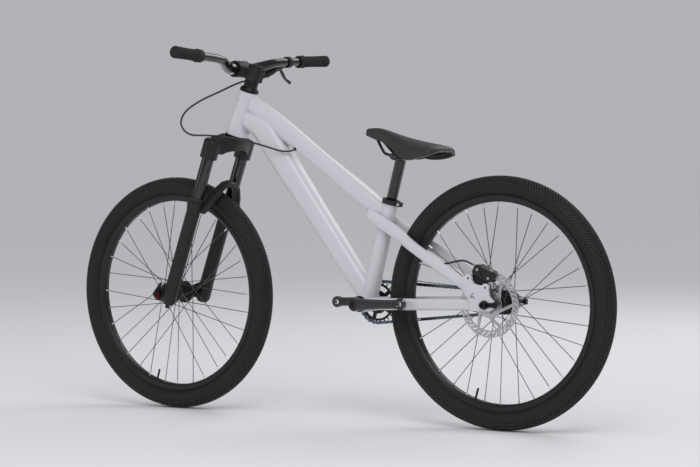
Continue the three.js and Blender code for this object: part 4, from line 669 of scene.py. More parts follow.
def make_finishes(colours):
    """Every finish of the bike, by name."""
    metal = tuple(colours.metal)
    finish("paint", tuple(colours.frame), 0.36, 0, 900, 0.02, 0.03, coat=0.22)
    finish("black_anodised", metal, 0.42, 0.5, 1400, 0.15, 0.05)
    finish("crank_black", tuple(1.1 * c for c in metal), 0.26, 0.2, 700, 0.1, 0.02, coat=0.4)
    finish("black_matte", tuple(0.9 * c for c in metal), 0.55, 0.1, 1800, 0.15, 0.08)
    finish("black_gloss", tuple(0.7 * c for c in metal), 0.16, 0.3, 500, 0.1, 0.01, coat=0.6)
    finish("fork_black", tuple(0.7 * c for c in metal), 0.42, 0, 1500, 0.12, 0.04, shine=0.4)
    finish("stanchion", (0.045, 0.045, 0.048), 0.1, 0.9, 500, 0.08, 0.01, coat=0.4)
    finish("rim_black", tuple(0.85 * c for c in metal), 0.4, 0.2, 1200, 0.1, 0.04)
    finish("tyre_rubber", tuple(colours.tyre), 0.66, 0, 1600, 0.18, 0.15, shine=0.35)
    # The tread's blocks are the tyre's own rubber made 2.6 times lighter: the extra lightness is
    # painted highlight, standing in for the light speckle on the lit blocks.
    finish("tread_rubber_painted_highlight", tuple(2.6 * c for c in colours.tyre), 0.6, 0, 1600, 0.2, 0.1, shine=0.45)
    finish("grip_rubber", tuple(colours.grip), 0.8, 0, 2200, 0.12, 0.3, shine=0.25)
    finish("seal_rubber", (0.018, 0.018, 0.018), 0.7, 0, 1500, 0.1, 0.1)
    finish("saddle_cover", tuple(colours.saddle), 0.5, 0, 1300, 0.08, 0.18, shine=0.35)
    finish("saddle_base", (0.02, 0.02, 0.021), 0.6, 0, 900, 0.1, 0.2)
    finish("saddle_edge", (0.09, 0.09, 0.092), 0.5, 0, 900, 0.08, 0.1)
    finish("steel", (0.56, 0.56, 0.57), 0.34, 1, 300, 0.1, 0.05, stretch=(1, 9, 1))
    finish("spoke_steel", (0.1, 0.1, 0.105), 0.35, 0.8, 500, 0.1, 0.02)
    finish("chain_steel", (0.14, 0.16, 0.21), 0.34, 1, 700, 0.2, 0.06)
    finish("nipple", (0.78, 0.78, 0.8), 0.3, 0.9, 700, 0.06, 0.02)
    finish("red_anodised", tuple(colours.axle), 0.35, 0.7, 900, 0.1, 0.03)
    finish("hose", (0.028, 0.028, 0.03), 0.45, 0, 1200, 0.1, 0.06)
    finish("pad", (0.2, 0.19, 0.18), 0.7, 0.4, 900, 0.2, 0.3)


# Finishes of the frame's own nodes, and how wide their edges are rounded where it isn't the usual.
NODE_FINISHES = {
    "black_anodised": [
        "headset_upper_cup",
        "headset_lower_cup",
        "headset_spacers",
        "rear_axle",
        "tensioner_left",
        "tensioner_right",
        "bb_cup_left",
        "bb_cup_right",
        "crank_spindle",
        "chainring",
        "rail_clamp",
        "rebound_knob",
        "axle_lever",
        "caliper_bracket",
        "stem_cap",
    ],
    "black_matte": ["stem", "stem_faceplate", "seat_clamp", "brake_caliper", "brake_lever_body"],
    "black_gloss": ["seatpost"],
    "fork_black": ["fork_crown", "fork_lowers"],
    "seal_rubber": ["seal_left", "seal_right"],
    "stanchion": ["stanchion_left", "stanchion_right"],
    "paint": ["dropout_left", "dropout_right", "bottom_bracket_shell"],
    "red_anodised": ["front_axle"],
    "chain_steel": ["sprocket"],
    "pad": ["brake_pad_inner", "brake_pad_outer"],
}
SOFT_EDGES = {
    "fork_crown": 1.6,
    "fork_lowers": 1.2,
    "brake_caliper": 1.2,
    "stem": 1.2,
    "stem_faceplate": 1,
    "brake_lever_body": 0.8,
    "axle_lever": 0.8,
}


def dress_node(name, material):
    """A frame node keeps its mesh. Its edges are rounded and its round sides smoothed by modifiers."""
    node = frame["nodes"][name]
    node.data.materials.clear()
    node.data.materials.append(finishes[material])
    node.data.polygons.foreach_set("use_smooth", [True] * len(node.data.polygons))
    weld = node.modifiers.new("Weld", "WELD")
    weld.merge_threshold = 0.005 * MM
    bevel = node.modifiers.new("Bevel", "BEVEL")
    bevel.width = SOFT_EDGES.get(name, 0.4) * MM
    bevel.segments = 2
    bevel.limit_method = "ANGLE"
    bevel.angle_limit = math.radians(40)
    split = node.modifiers.new("Edge Split", "EDGE_SPLIT")
    split.split_angle = math.radians(38)


class BIKE_OT_finishes(bpy.types.Operator):
    """Makes the finishes and puts them on the frame's own nodes"""

    bl_idname = "bike.finishes"
    bl_label = "Finishes"

    def execute(self, context):
        make_finishes(context.scene.bike_colours)
        for material, names in NODE_FINISHES.items():
            for name in names:
                dress_node(name, material)
        return {"FINISHED"}


def rounded_section(width, height, corner, steps=6):
    """Points of a rounded rectangle, anticlockwise."""
    points = []
    radius = min(corner, width / 2 - 0.2, height / 2 - 0.2)
    for i, (sx, sy) in enumerate(((1, -1), (1, 1), (-1, 1), (-1, -1))):
        cx, cy = sx * (width / 2 - radius), sy * (height / 2 - radius)
        first = (i - 1) * math.pi / 2
        for k in range(steps + 1):
            angle = first + k * math.pi / 2 / steps
            points.append((cx + radius * math.cos(angle), cy + radius * math.sin(angle)))
    return points


def tube(name, side=1):
    """Rings of one of the frame's formed tubes, between two points of the middle plane."""
    rows, start, end, corner = TUBES[name]
    start, end = Vector(start), Vector(end)
    line = end - start
    forward = line.normalized()
    up = Vector((-forward.z, 0, forward.x))
    if up.z < 0:
        up.negate()
    rings = []
    for along, rise, offset, width, height in eased(rows, 26):
        centre = start + along * line + rise * up + side * offset * CROSS
        section = rounded_section(width, height, corner)
        rings.append([centre + x * CROSS + y * up for x, y in section])
    return rings


def bite(piece, cutter):
    """Cuts one solid out of another and keeps the cutter."""
    apply_modifier(piece, "BOOLEAN", operation="DIFFERENCE", solver="EXACT", object=cutter)
    return close_up(piece, 40)


def solid_rod(name, radii, heights, place, axis):
    """A plain turned solid that cuts tubes to length."""
    profile = [(0, heights[0]), *zip(radii, heights), (0, heights[-1])]
    return turned(name, profile, place, axis, 48)


class BIKE_OT_frame_tubes(bpy.types.Operator):
    """Forms the painted tubes of the frame"""

    bl_idname = "bike.frame_tubes"
    bl_label = "Frame tubes"

    def execute(self, context):
        core_radii = (30.6, 30.6, 24.4, 24.4)
        head_core = solid_rod("head_core", core_radii, (-125, -103, 0, 8), HEAD_TOP, HEAD_AXIS)
        seat_core = solid_rod("seat_core", (21.4, 18.7), (-2, 256), BRACKET, SEAT_AXIS)
        shell_core = solid_rod("shell_core", (21.2, 21.2), (-50, 50), BRACKET, CROSS)
        head = turned("head_tube_skin", HEAD_TUBE, HEAD_TOP, HEAD_AXIS, 64)
        settle(head, "frame", "paint", ["head_tube"])
        seat = turned("seat_tube_skin", SEAT_TUBE, BRACKET, SEAT_AXIS, 56)
        settle(bite(seat, shell_core), "frame", "paint", ["seat_tube"])
        top = lofted("top_tube_skin", tube("top_tube"))
        down = lofted("down_tube_skin", tube("down_tube"))
        for skin, cores in ((top, (head_core, seat_core)), (down, (head_core, seat_core, shell_core))):
            for core in cores:
                bite(skin, core)
        settle(top, "frame", "paint", ["top_tube"])
        settle(down, "frame", "paint", ["down_tube"])
        for name, side in SIDES:
            lower = lofted(f"chainstay_{name}_skin", tube("chainstay", side))
            settle(bite(lower, shell_core), "frame", "paint", [f"chainstay_{name}"])
            upper = lofted(f"seatstay_{name}_skin", tube("seatstay", side))
            settle(bite(upper, seat_core), "frame", "paint", [f"seatstay_{name}"])
        for core in (head_core, seat_core, shell_core):
            drop(core)
        return {"FINISHED"}


def skin_tree(name):
    """A search tree over a piece's faces."""
    mesh = bpy.data.objects[name].data
    vertices = [vertex.co.copy() for vertex in mesh.vertices]
    return BVHTree.FromPolygons(vertices, [list(face.vertices) for face in mesh.polygons])


def seam_points(rings, far, near, tree):
    """Where the skin between two rings of a tube meets other skins."""
    points = []
    for a, b in zip(rings[far], rings[near]):
        a, b = Vector(a) * MM, Vector(b) * MM
        hit, _, _, _ = tree.ray_cast(a, (b - a).normalized(), (b - a).length)
        if hit is not None:
            points.append(hit / MM)
    return points


def bead(points, size):
    """A weld laid as a closed row of overlapping drops."""
    loop = points + points[:1]
    lengths = [0.0]
    for a, b in zip(loop, loop[1:]):
        lengths.append(lengths[-1] + (b - a).length)
    count = max(6, round(lengths[-1] / BEAD_PITCH))
    drop_mesh = primitive("uv_sphere", "drop", segments=10, ring_count=6, radius=1)
    vertices = np.array([v.co for v in drop_mesh.data.vertices])
    faces = [list(p.vertices) for p in drop_mesh.data.polygons]
    drop(drop_mesh)
    every, all_faces = [], []
    for k in range(count):
        at = lengths[-1] * k / count
        i = max(0, min(len(loop) - 2, int(np.searchsorted(lengths, at)) - 1))
        share = (at - lengths[i]) / max(lengths[i + 1] - lengths[i], 1e-6)
        centre = loop[i].lerp(loop[i + 1], share)
        run = (loop[i + 1] - loop[i]).normalized()
        turn = np.array(UP.rotation_difference(run).to_matrix())
        shaped = vertices * np.array([size, size, BEAD_HALF])
        base = len(every) * len(vertices)
        every.append((shaped @ turn.T + np.array(centre)) * MM)
        all_faces += [[base + v for v in face] for face in faces]
    mesh = bpy.data.meshes.new("bead")
    mesh.from_pydata(np.concatenate(every).tolist(), [], all_faces)
    piece = placed("bead", mesh)
    only(piece)
    bpy.ops.object.shade_smooth()
    return piece


class BIKE_OT_welds(bpy.types.Operator):
    """Lays the weld beads round the frame's joints"""

    bl_idname = "bike.welds"
    bl_label = "Welds"

    def execute(self, context):
        size = context.scene.bike_sizes.bead_size / MM
        top = tube("top_tube")
        down = tube("down_tube")
        head = skin_tree("head_tube_skin")
        seat = skin_tree("seat_tube_skin")
        shell = skin_tree("bottom_bracket_shell")
        beads = [
            bead(seam_points(top, 5, 0, head), size),
            bead(seam_points(top, -6, -1, seat), size),
            bead(seam_points(down, -6, -1, head), size),
            bead(seam_points(down, 5, 0, shell), size),
        ]
        for _, side in SIDES:
            lower = tube("chainstay", side)
            beads.append(bead(seam_points(lower, 4, 0, shell), 0.8 * size))
            upper = tube("seatstay", side)
            beads.append(bead(seam_points(upper, 6, 0, seat), 0.8 * size))
        seat_forward = Vector((SEAT_AXIS.z, 0, -SEAT_AXIS.x))
        angles = np.linspace(0, 2 * math.pi, 40, endpoint=False)
        seat_ring = [
            BRACKET + 21.4 * (math.cos(angle) * seat_forward + math.sin(angle) * CROSS)
            for angle in angles
        ]
        seat_rings = [[p + 60 * SEAT_AXIS for p in seat_ring], seat_ring]
        beads.append(bead(seam_points(seat_rings, 0, 1, shell), size))
        settle(joined("weld_beads", beads), "frame", "paint")
        return {"FINISHED"}


def tread(name, centre, sizes):
    """Blocks round a tyre: one row of them across the crown, copied round the axle by spin."""
    height = sizes.tread_height / MM
    crown = [(radius, side) for radius, side in reversed(TYRE_HALF) if radius > TREAD_CENTRE]
    blocks = []
    for row, side in enumerate(TREAD_ROWS):
        radius = float(np.interp(side, [s for _, s in crown], [r for r, _ in crown]))
        lean = math.atan2(side, radius - TREAD_CENTRE)
        shift = (row % 2) * math.pi / sizes.tread_count
        for sign in (1, -1) if side else (1,):
            block = primitive("cube", "block", size=1)
            for vertex in block.data.vertices:
                x, y, z = vertex.co
                taper = 0.8 if z > 0 else 1.05
                rise = (z + 0.5) * (height + BLOCK_DEPTH) - BLOCK_DEPTH
                vertex.co = (x * BLOCK_LENGTH * taper, y * BLOCK_WIDTH * taper, rise)
            turn = Matrix.Rotation(-sign * lean, 4, "X")
            place = Matrix.Translation((0, sign * side, radius))
            block.data.transform(Matrix.Rotation(shift, 4, "Y") @ place @ turn)
            blocks.append(block)
    rows = joined(name, blocks)
    edit_all()
    steps = sizes.tread_count - 1
    turn = 2 * math.pi * steps / sizes.tread_count
    bpy.ops.mesh.spin(steps=steps, dupli=True, angle=turn, center=(0, 0, 0), axis=(0, 1, 0))
    bpy.ops.object.mode_set(mode="OBJECT")
    rows.data.transform(Matrix.Translation(centre * MM) @ Matrix.Scale(MM, 4))
    return close_up(rows, 30)


def spoke_ends(flange):
    """Foot and head of each spoke of one flange, round an axle at the origin."""
    places = []
    for i in range(8):
        start = i * math.pi / 4 + (0 if flange > 0 else math.pi / 16)
        after = start + math.pi / 8
        for angle, lean, lift in ((start, SPOKE_LEAN, 1.3), (after, -SPOKE_LEAN, -1.3)):
            foot = SPOKE_CIRCLE * Vector((math.sin(angle), 0, math.cos(angle)))
            turn = angle + lean
            head = SPOKE_HEAD * Vector((math.sin(turn), 0, math.cos(turn)))
            foot.y = flange + lift
            head.y = math.copysign(4, flange)
            places.append((foot, head))
    return places


def rods(name, lines, radii, sides):
    """Straight rods between pairs of points, as one piece."""
    pieces = []
    for start, end in lines:
        centre = (start + end) / 2
        rod = primitive(
            "cone",
            name,
            vertices=sides,
            radius1=radii[0],
            radius2=radii[1],
            depth=(end - start).length,
        )
        turn = UP.rotation_difference(end - start).to_matrix().to_4x4()
        rod.data.transform(Matrix.Scale(MM, 4) @ Matrix.Translation(centre) @ turn)
        pieces.append(rod)
    return close_up(joined(name, pieces), 50)


# Each hub's two flanges, and its outline: radius and place across.
HUB_SHAPES = {
    "front": (24, -32, [
        (7.9, 50), (9.4, 50), (10, 49.4), (11, 44), (26.4, 42.3), (27, 41.7), (27, 38.3),
        (26.4, 37.7), (16, 37.7), (14.5, 31), (16, 26.3), (28.4, 26.3), (29, 25.7), (29, 22.3),
        (28.4, 21.7), (17, 19), (12, 12), (11, 0), (12, -20), (17, -27), (28.4, -29.7),
        (29, -30.3), (29, -33.7), (28.4, -34.3), (13, -36), (10, -40), (10, -50), (7.9, -50),
    ]),
    "rear": (32, -22, [
        (5.6, 67.5), (9.4, 67.5), (10, 67), (13.5, 50.3), (28.4, 50.3), (29, 49.7), (29, 46.3),
        (28.4, 45.7), (17, 45.7), (15.6, 40), (17, 34.3), (28.4, 34.3), (29, 33.7), (29, 30.3),
        (28.4, 29.7), (17, 27), (12, 20), (11, 5), (12, -10), (17, -17), (28.4, -19.7),
        (29, -20.3), (29, -23.7), (28.4, -24.3), (18, -27), (14, -36), (5.6, -36),
    ]),
}


class BIKE_OT_wheels(bpy.types.Operator):
    """Makes both wheels: tyres with tread, rims, hubs, spokes, nipples and valves"""

    bl_idname = "bike.wheels"
    bl_label = "Wheels"

    def execute(self, context):
        sizes = context.scene.bike_sizes
        for wheel, centre in (("front", FRONT_AXLE), ("rear", REAR_AXLE)):
            body = f"{wheel}_wheel"
            casing = turned(f"{wheel}_casing", both_ways(TYRE_HALF), centre, CROSS, 144)
            settle(casing, body, "tyre_rubber", [f"{wheel}_tyre"])
            blocks = tread(f"{wheel}_tread", centre, sizes)
            # The blocks take the tyre's rubber lightened by painted highlight.
            settle(blocks, body, "tread_rubber_painted_highlight")
            rim = turned(f"{wheel}_rim_skin", both_ways(RIM_HALF), centre, CROSS, 144)
            settle(rim, body, "rim_black", [f"{wheel}_rim"])
            left, right, profile = HUB_SHAPES[wheel]
            hub = turned(f"{wheel}_hub_skin", profile, centre, CROSS, 48)
            settle(hub, body, "black_anodised", [f"{wheel}_hub"])
            ends = spoke_ends(left) + spoke_ends(right)
            lines = [(centre + foot, centre + head) for foot, head in ends]
            size = sizes.spoke_size / MM / 2
            wires = rods(f"{wheel}_spokes", lines, (size, size), 6)
            settle(wires, body, "spoke_steel")
            tips = []
            for foot, head in lines:
                run = (foot - head).normalized()
                tips.append((head + run * NIPPLE_LENGTH, head - run * NIPPLE_SUNK))
            nipples = rods(f"{wheel}_nipples", tips, (1.9, 2.3), 8)
            settle(nipples, body, "nipple")
            inward = -Vector((math.sin(VALVE_ANGLE), 0, math.cos(VALVE_ANGLE)))
            place = centre - VALVE_FOOT * inward
            middle = place + VALVE_STEM * inward
            stem = [(place, middle), (middle, place + VALVE_LENGTH * inward)]
            valve = rods(f"{wheel}_valve", stem, (2.7, 2.6), 12)
            settle(valve, body, "black_anodised")
        return {"FINISHED"}


class BIKE_OT_rotor(bpy.types.Operator):
    """Makes the rear brake rotor"""

    bl_idname = "bike.rotor"
    bl_label = "Brake rotor"

    def execute(self, context):
        edge = []
        for i in range(144):
            angle = i * 2 * math.pi / 144
            radius = ROTOR_RADIUS - ROTOR_WAVE * (1 - math.cos(12 * angle))
            edge.append((radius * math.cos(angle), radius * math.sin(angle)))
        outlines = [edge, round_points(17.5, 32)]
        for i in range(6):
            start = i * math.pi / 3
            outer = [(62, start + 0.06 + k * (math.pi / 3 - 0.12) / 10) for k in range(11)]
            inner = [(33, start + 0.62 + k * (math.pi / 3 - 0.34) / 5) for k in reversed(range(6))]
            outlines.append([(r * math.cos(a), r * math.sin(a)) for r, a in outer + inner])
        for i in range(36):
            angle = i * math.pi / 18
            slot = []
            for radius, half, lean in SLOT_CORNERS:
                along = Vector((math.cos(angle + lean), math.sin(angle + lean)))
                slot.append(radius * along + half * Vector((-math.sin(angle), math.cos(angle))))
            outlines.append([tuple(point) for point in slot])
        rotor = plate("rotor_plate", outlines, ROTOR_THICKNESS)
        rotor.data.transform(Matrix.Translation((REAR_AXLE + ROTOR_PLANE * CROSS) * MM))
        settle(rotor, "rear_wheel", "steel", ["brake_rotor"])
        return {"FINISHED"}


def chain_joints():
    """Joints of the chain round both toothed discs, on the plane of the chain."""
    ring_radius = CHAIN_PITCH / 2 / math.sin(math.pi / RING_TEETH)
    cog_radius = CHAIN_PITCH / 2 / math.sin(math.pi / COG_TEETH)
    joints = []

    def add_run(end, links):
        start = joints[-1]
        joints.extend(start.lerp(end, i / links) for i in range(1, links))

    links = 2 * round(CHAINSTAY_LENGTH / CHAIN_PITCH / 2)
    for i in range(RING_TEETH // 2 + 1):
        angle = math.pi / 2 - i * 2 * math.pi / RING_TEETH
        x = CHAINSTAY_LENGTH + ring_radius * math.cos(angle)
        joints.append(Vector((x, ring_radius * math.sin(angle))))
    on_cog = COG_TEETH // 2 - 1
    first = math.pi + on_cog * math.pi / COG_TEETH
    around = [first - i * 2 * math.pi / COG_TEETH for i in range(on_cog + 1)]
    places = [Vector((cog_radius * math.cos(a), cog_radius * math.sin(a))) for a in around]
    add_run(places[0], links)
    joints.extend(places)
    add_run(joints[0], links)
    return joints


def link_outline():
    """Side plate of a chain link: two round ends and a waist."""
    half = CHAIN_PITCH / 2
    right = [(half + 4.1 * math.cos(a), 4.1 * math.sin(a)) for a in np.linspace(-1.9, 1.9, 7)]
    waist = [(0, 2.9)]
    left = [(-x, z) for x, z in reversed(right)]
    return right + waist + left + [(0, -2.9)]


class BIKE_OT_chain(bpy.types.Operator):
    """Makes the chain out of outer and inner links with rollers and pins"""

    bl_idname = "bike.chain"
    bl_label = "Chain"

    def execute(self, context):
        joints = chain_joints()
        plates = {}
        for kind, place in (("outer", 3.75), ("inner", 2.65)):
            pair = []
            for side in (1, -1):
                half = plate("link", [link_outline()], 0.9, bevel=0.12)
                half.data.transform(Matrix.Translation((0, side * place * MM, 0)))
                pair.append(half)
            plates[kind] = joined(f"{kind}_link", pair)
        parts = []
        for kind, radius, half in (("roller", 3.85, 2.1), ("pin", 1.7, 4.5)):
            rod = primitive("cylinder", kind, vertices=12, radius=radius * MM, depth=2 * half * MM)
            rod.data.transform(Matrix.Rotation(math.pi / 2, 4, "X"))
            parts.append(rod)
        pin = joined("pin", parts)
        fall = BRACKET.z - REAR_AXLE.z
        lean = math.atan2(fall, math.sqrt(CHAINSTAY_LENGTH**2 - fall**2))
        chain_plane = Matrix.Translation((REAR_AXLE - CHAIN_LINE * CROSS) * MM)
        place = chain_plane @ Matrix.Rotation(-lean, 4, "Y")
        pieces = []
        for i, joint in enumerate(joints):
            after = joints[(i + 1) % len(joints)]
            middle = (joint + after) / 2
            run = after - joint
            angle = math.atan2(run.y, run.x)
            turn = Matrix.Rotation(-angle, 4, "Y")
            spot = Matrix.Translation((middle.x * MM, 0, middle.y * MM)) @ turn
            pieces.append(copied(plates["inner" if i % 2 else "outer"], "link", place @ spot))
            spot = Matrix.Translation((joint.x * MM, 0, joint.y * MM))
            pieces.append(copied(pin, "pin", place @ spot))
        for extra in (*plates.values(), pin):
            drop(extra)
        chain = joined("chain_links", pieces)
        settle(chain, "frame", "chain_steel", ["chain"])
        return {"FINISHED"}


def saddle_section(row):
    """A ring of the saddle across its width, from one lower edge over the top to the other."""
    along, top, edge, half = row
    x = SADDLE_NOSE - along * SADDLE_LENGTH
    steps = 18
    points = []
    for k in range(2 * steps + 1):
        t = -math.pi / 2 + k * math.pi / (2 * steps)
        wide = math.copysign(abs(math.sin(t)) ** 0.8, t)
        high = max(math.cos(t), 0) ** 0.62
        points.append(Vector((x, half * wide, edge + (top - edge) * high)))
    return points


# Rows of a crank arm: along it, its middle's place across, its thickness and its height.
CRANK_ROWS = [
    (0, 58, 16, 31),
    (22, 62.4, 14.2, 28.6),
    (40.6, 66, 13.1, 26.4),
    (66, 70.2, 12.4, 24),
    (89.9, 73.8, 12.2, 22.3),
    (112, 77, 12.4, 21.6),
    (124.7, 78.4, 12.8, 21.7),
    (135.5, 79, 13.4, 22.6),
]

# Outlines of a crank's boss and of its pedal eye, radius and place across, and how far apart they are.
CRANK_BOSS = [
    (9.9, 50),
    (15.8, 50),
    (17, 51.2),
    (17, 64),
    (15.4, 65.8),
    (12.6, 66),
    (12.2, 64.6),
    (9.9, 64.6),
]
CRANK_EYE = [
    (7, 72),
    (12.6, 72),
    (14, 73.4),
    (14, 84.6),
    (12.6, 86),
    (8.6, 86),
    (7, 84.6),
]
CRANK_LENGTH = 145


class BIKE_OT_cranks(bpy.types.Operator):
    """Makes the two forged crank arms with their bosses and pedal eyes"""

    bl_idname = "bike.cranks"
    bl_label = "Crank arms"

    def execute(self, context):
        lean = math.radians(2.2)
        for name, side in SIDES:
            run = Vector((-side * math.cos(lean), 0, side * math.sin(lean)))
            up = run.cross(CROSS)
            rings = []
            for along, out, thickness, height in eased(CRANK_ROWS, 22):
                centre = BRACKET + along * run + side * out * CROSS
                section = rounded_section(thickness, height, 4.6, 6)
                rings.append([centre + x * CROSS + y * up for x, y in section])
            arm = lofted("arm", rings)
            boss = turned("boss", CRANK_BOSS, BRACKET, side * CROSS, 56)
            eye = turned("eye", CRANK_EYE, BRACKET + run * CRANK_LENGTH, side * CROSS, 48)
            whole = joined(f"crank_arm_{name}_skin", [arm, boss, eye])
            settle(whole, "cranks", "crank_black", [f"crank_arm_{name}"])
        return {"FINISHED"}


class BIKE_OT_saddle(bpy.types.Operator):
    """Makes the saddle: its cover, base, rear edge and rails"""

    bl_idname = "bike.saddle"
    bl_label = "Saddle"

    def execute(self, context):
        rows = eased(SADDLE_ROWS, 44)
        mesh = bpy.data.meshes.new("saddle_cover")
        shape = bmesh.new()
        skins = [[shape.verts.new(p * MM) for p in saddle_section(row)] for row in rows]
        for low, high in zip(skins, skins[1:]):
            for i in range(len(low) - 1):
                shape.faces.new((low[i], low[i + 1], high[i + 1], high[i]))
        for end in (skins[0], skins[-1]):
            shape.faces.new(end)
        bmesh.ops.recalc_face_normals(shape, faces=shape.faces)
        if sum(f.normal.z * f.calc_area() for f in shape.faces) < 0:
            bmesh.ops.reverse_faces(shape, faces=shape.faces)
        shape.to_mesh(mesh)
        shape.free()
        cover = placed("saddle_cover", mesh)
        wall = context.scene.bike_sizes.cover_wall
        apply_modifier(cover, "SOLIDIFY", thickness=wall, offset=-1, use_even_offset=True)
        close_up(cover, 50)
        settle(cover, "seat", "saddle_cover", ["saddle"])
        inside = [row for row in rows if 0.06 < row[0] < 0.965]
        rings = []
        for along, top, edge, half in inside:
            x = SADDLE_NOSE - along * SADDLE_LENGTH
            width = half - 6.2
            low = edge + 0.28 * (top - edge)
            rings.append([Vector((x, share * width, low + rise)) for share, rise in SADDLE_BASE])
        base = lofted("saddle_base", rings)
        settle(base, "seat", "saddle_base")
        rear = [row for row in rows if row[0] > 0.7]
        rim = []
        for side in (1, -1):
            line = [
                Vector((SADDLE_NOSE - along * SADDLE_LENGTH, side * (half - 1.2), low + 0.6))
                for along, _, low, half in rear
            ]
            rim += line if side > 0 else line[::-1]
        edge = swept("saddle_edge", rim, [1.7] * len(rim), 8)
        settle(edge, "seat", "saddle_edge")
        clamp = BRACKET + SEAT_AXIS * CLAMP_HEIGHT
        tilt = Matrix.Rotation(SADDLE_TILT, 4, "Y")
        route = RAIL_HALF + [(x, -y, z) for x, y, z in reversed(RAIL_HALF)]
        points = [clamp + tilt @ p for p in smooth_line(route, 5)]
        rails = swept("rail_rods", points, [3.5] * len(points), 12)
        settle(rails, "seat", "black_anodised", ["saddle_rails"])
        return {"FINISHED"}


# The brake lever's pivot, the way from the bar and the way of the pivot's pin.
LEVER_PIVOT = Vector((262, -150, 897))
LEVER_AWAY = Vector((0.636078, 0, -0.771625))
LEVER_PIN = Vector((0.771625, 0, 0.636078))

# Rows of the lever's blade: outward along the bar, away from it, width along the pin, thickness.
LEVER_BLADE = [
    (3.4, 1.6, 6.2, 6.4),
    (10, 4.6, 6.2, 7.6),
    (18, 8.4, 6.4, 8),
    (25, 12.6, 10, 7.8),
    (35, 19, 11.4, 7.2),
    (45, 25.8, 11.8, 6.8),
    (56, 32.4, 11.8, 6.6),
    (66, 37.4, 11.6, 6.6),
    (75, 40.6, 11.2, 6.8),
    (81, 42.4, 10.8, 7.6),
    (85.5, 44, 10.6, 9.2),
    (89, 45.6, 10, 10),
    (92, 47, 8.4, 8.6),
    (93.6, 47.8, 4.6, 4.6),
]

# The bar's middle, and from there its left half's bends and the two ends of its grip.
BAR_CENTRE = Vector((277.8, 0, 889.5))
BAR_HALF = [(0, 0, 0), (0, 46, 0), (-31, 118, 19.5), (-36, 212, 24.5), (-46.5, 321, 29.5)]

# A grip's ribs: where they start, how far apart they are and how high.
RIB_START = 20.0
RIB_PITCH = 3.4
RIB_HEIGHT = 0.8

# A grip's outline: its lock ring and flange, then its end with the plug, past the bar's end.
GRIP_COLLAR = [
    (11.4, 0.1),
    (16, 0.1),
    (16.5, 0.6),
    (16.5, 12.4),
    (16, 12.9),
    (15.4, 13),
    (16.8, 13.4),
    (17, 14),
    (17, 16.6),
    (16.4, 17.2),
    (15.2, 18.5),
]
GRIP_END = [
    (15.3, -2),
    (15.3, 3.6),
    (14.2, 5.2),
    (11.6, 5.2),
    (11.3, 4.3),
    (10.9, 4.3),
    (10.6, 5),
    (0, 5),
    (0, 0.3),
    (11.4, 0.3),
]


def grip_line(side):
    """Where a grip starts on the bar, its direction and its length."""
    inner, end = (BAR_CENTRE + Vector((x, side * y, z)) for x, y, z in BAR_HALF[3:])
    return inner, (end - inner).normalized(), (end - inner).length


class BIKE_OT_cockpit(bpy.types.Operator):
    """Makes the handlebar and its grips"""

    bl_idname = "bike.cockpit"
    bl_label = "Handlebar and grips"

    def execute(self, context):
        places = [BAR_CENTRE + Vector(p) for p in BAR_HALF]
        middle, flat, bend, inner, end = places
        half = [
            middle,
            middle.lerp(flat, 0.6),
            flat.lerp(bend, 0.12),
            flat.lerp(bend, 0.5),
            flat.lerp(bend, 0.84),
            bend.lerp(inner, 0.2),
            inner,
            end,
        ]
        line = smooth_line(half, 6)
        mirrored = [Vector((p.x, -p.y, p.z)) for p in line[1:]]
        points = mirrored[::-1] + line
        places, sizes = (27, 46, 118, 130), (15.9, 14.6, 11.4, 11.1)
        radii = [float(np.interp(abs(p.y), places, sizes)) for p in points]
        bar = swept("handlebar_rod", points, radii, 32)
        settle(bar, "steering", "black_gloss", ["handlebar"])
        ring = [(14.2, 0), (15.1, 0), (15.1, 5.5), (14.2, 5.5)]
        band = turned("handlebar_band", ring, BAR_CENTRE + 41 * CROSS, CROSS, 32)
        settle(band, "steering", "nipple")
        for name, side in SIDES:
            inner, run, length = grip_line(side)
            profile = list(GRIP_COLLAR)
            at = RIB_START
            while at < length - 6:
                radius = 14.75 + 0.35 * math.cos(2 * math.pi * at / length)
                low = radius - RIB_HEIGHT
                profile += [(radius, at), (radius, at + 1.9), (low, at + 2.3), (low, at + 3)]
                at += RIB_PITCH
            profile += [(radius, length + past) for radius, past in GRIP_END]
            grip = turned(f"grip_{name}_skin", profile, inner, run, 40)
            settle(grip, "steering", "grip_rubber", [f"grip_{name}"])
        return {"FINISHED"}


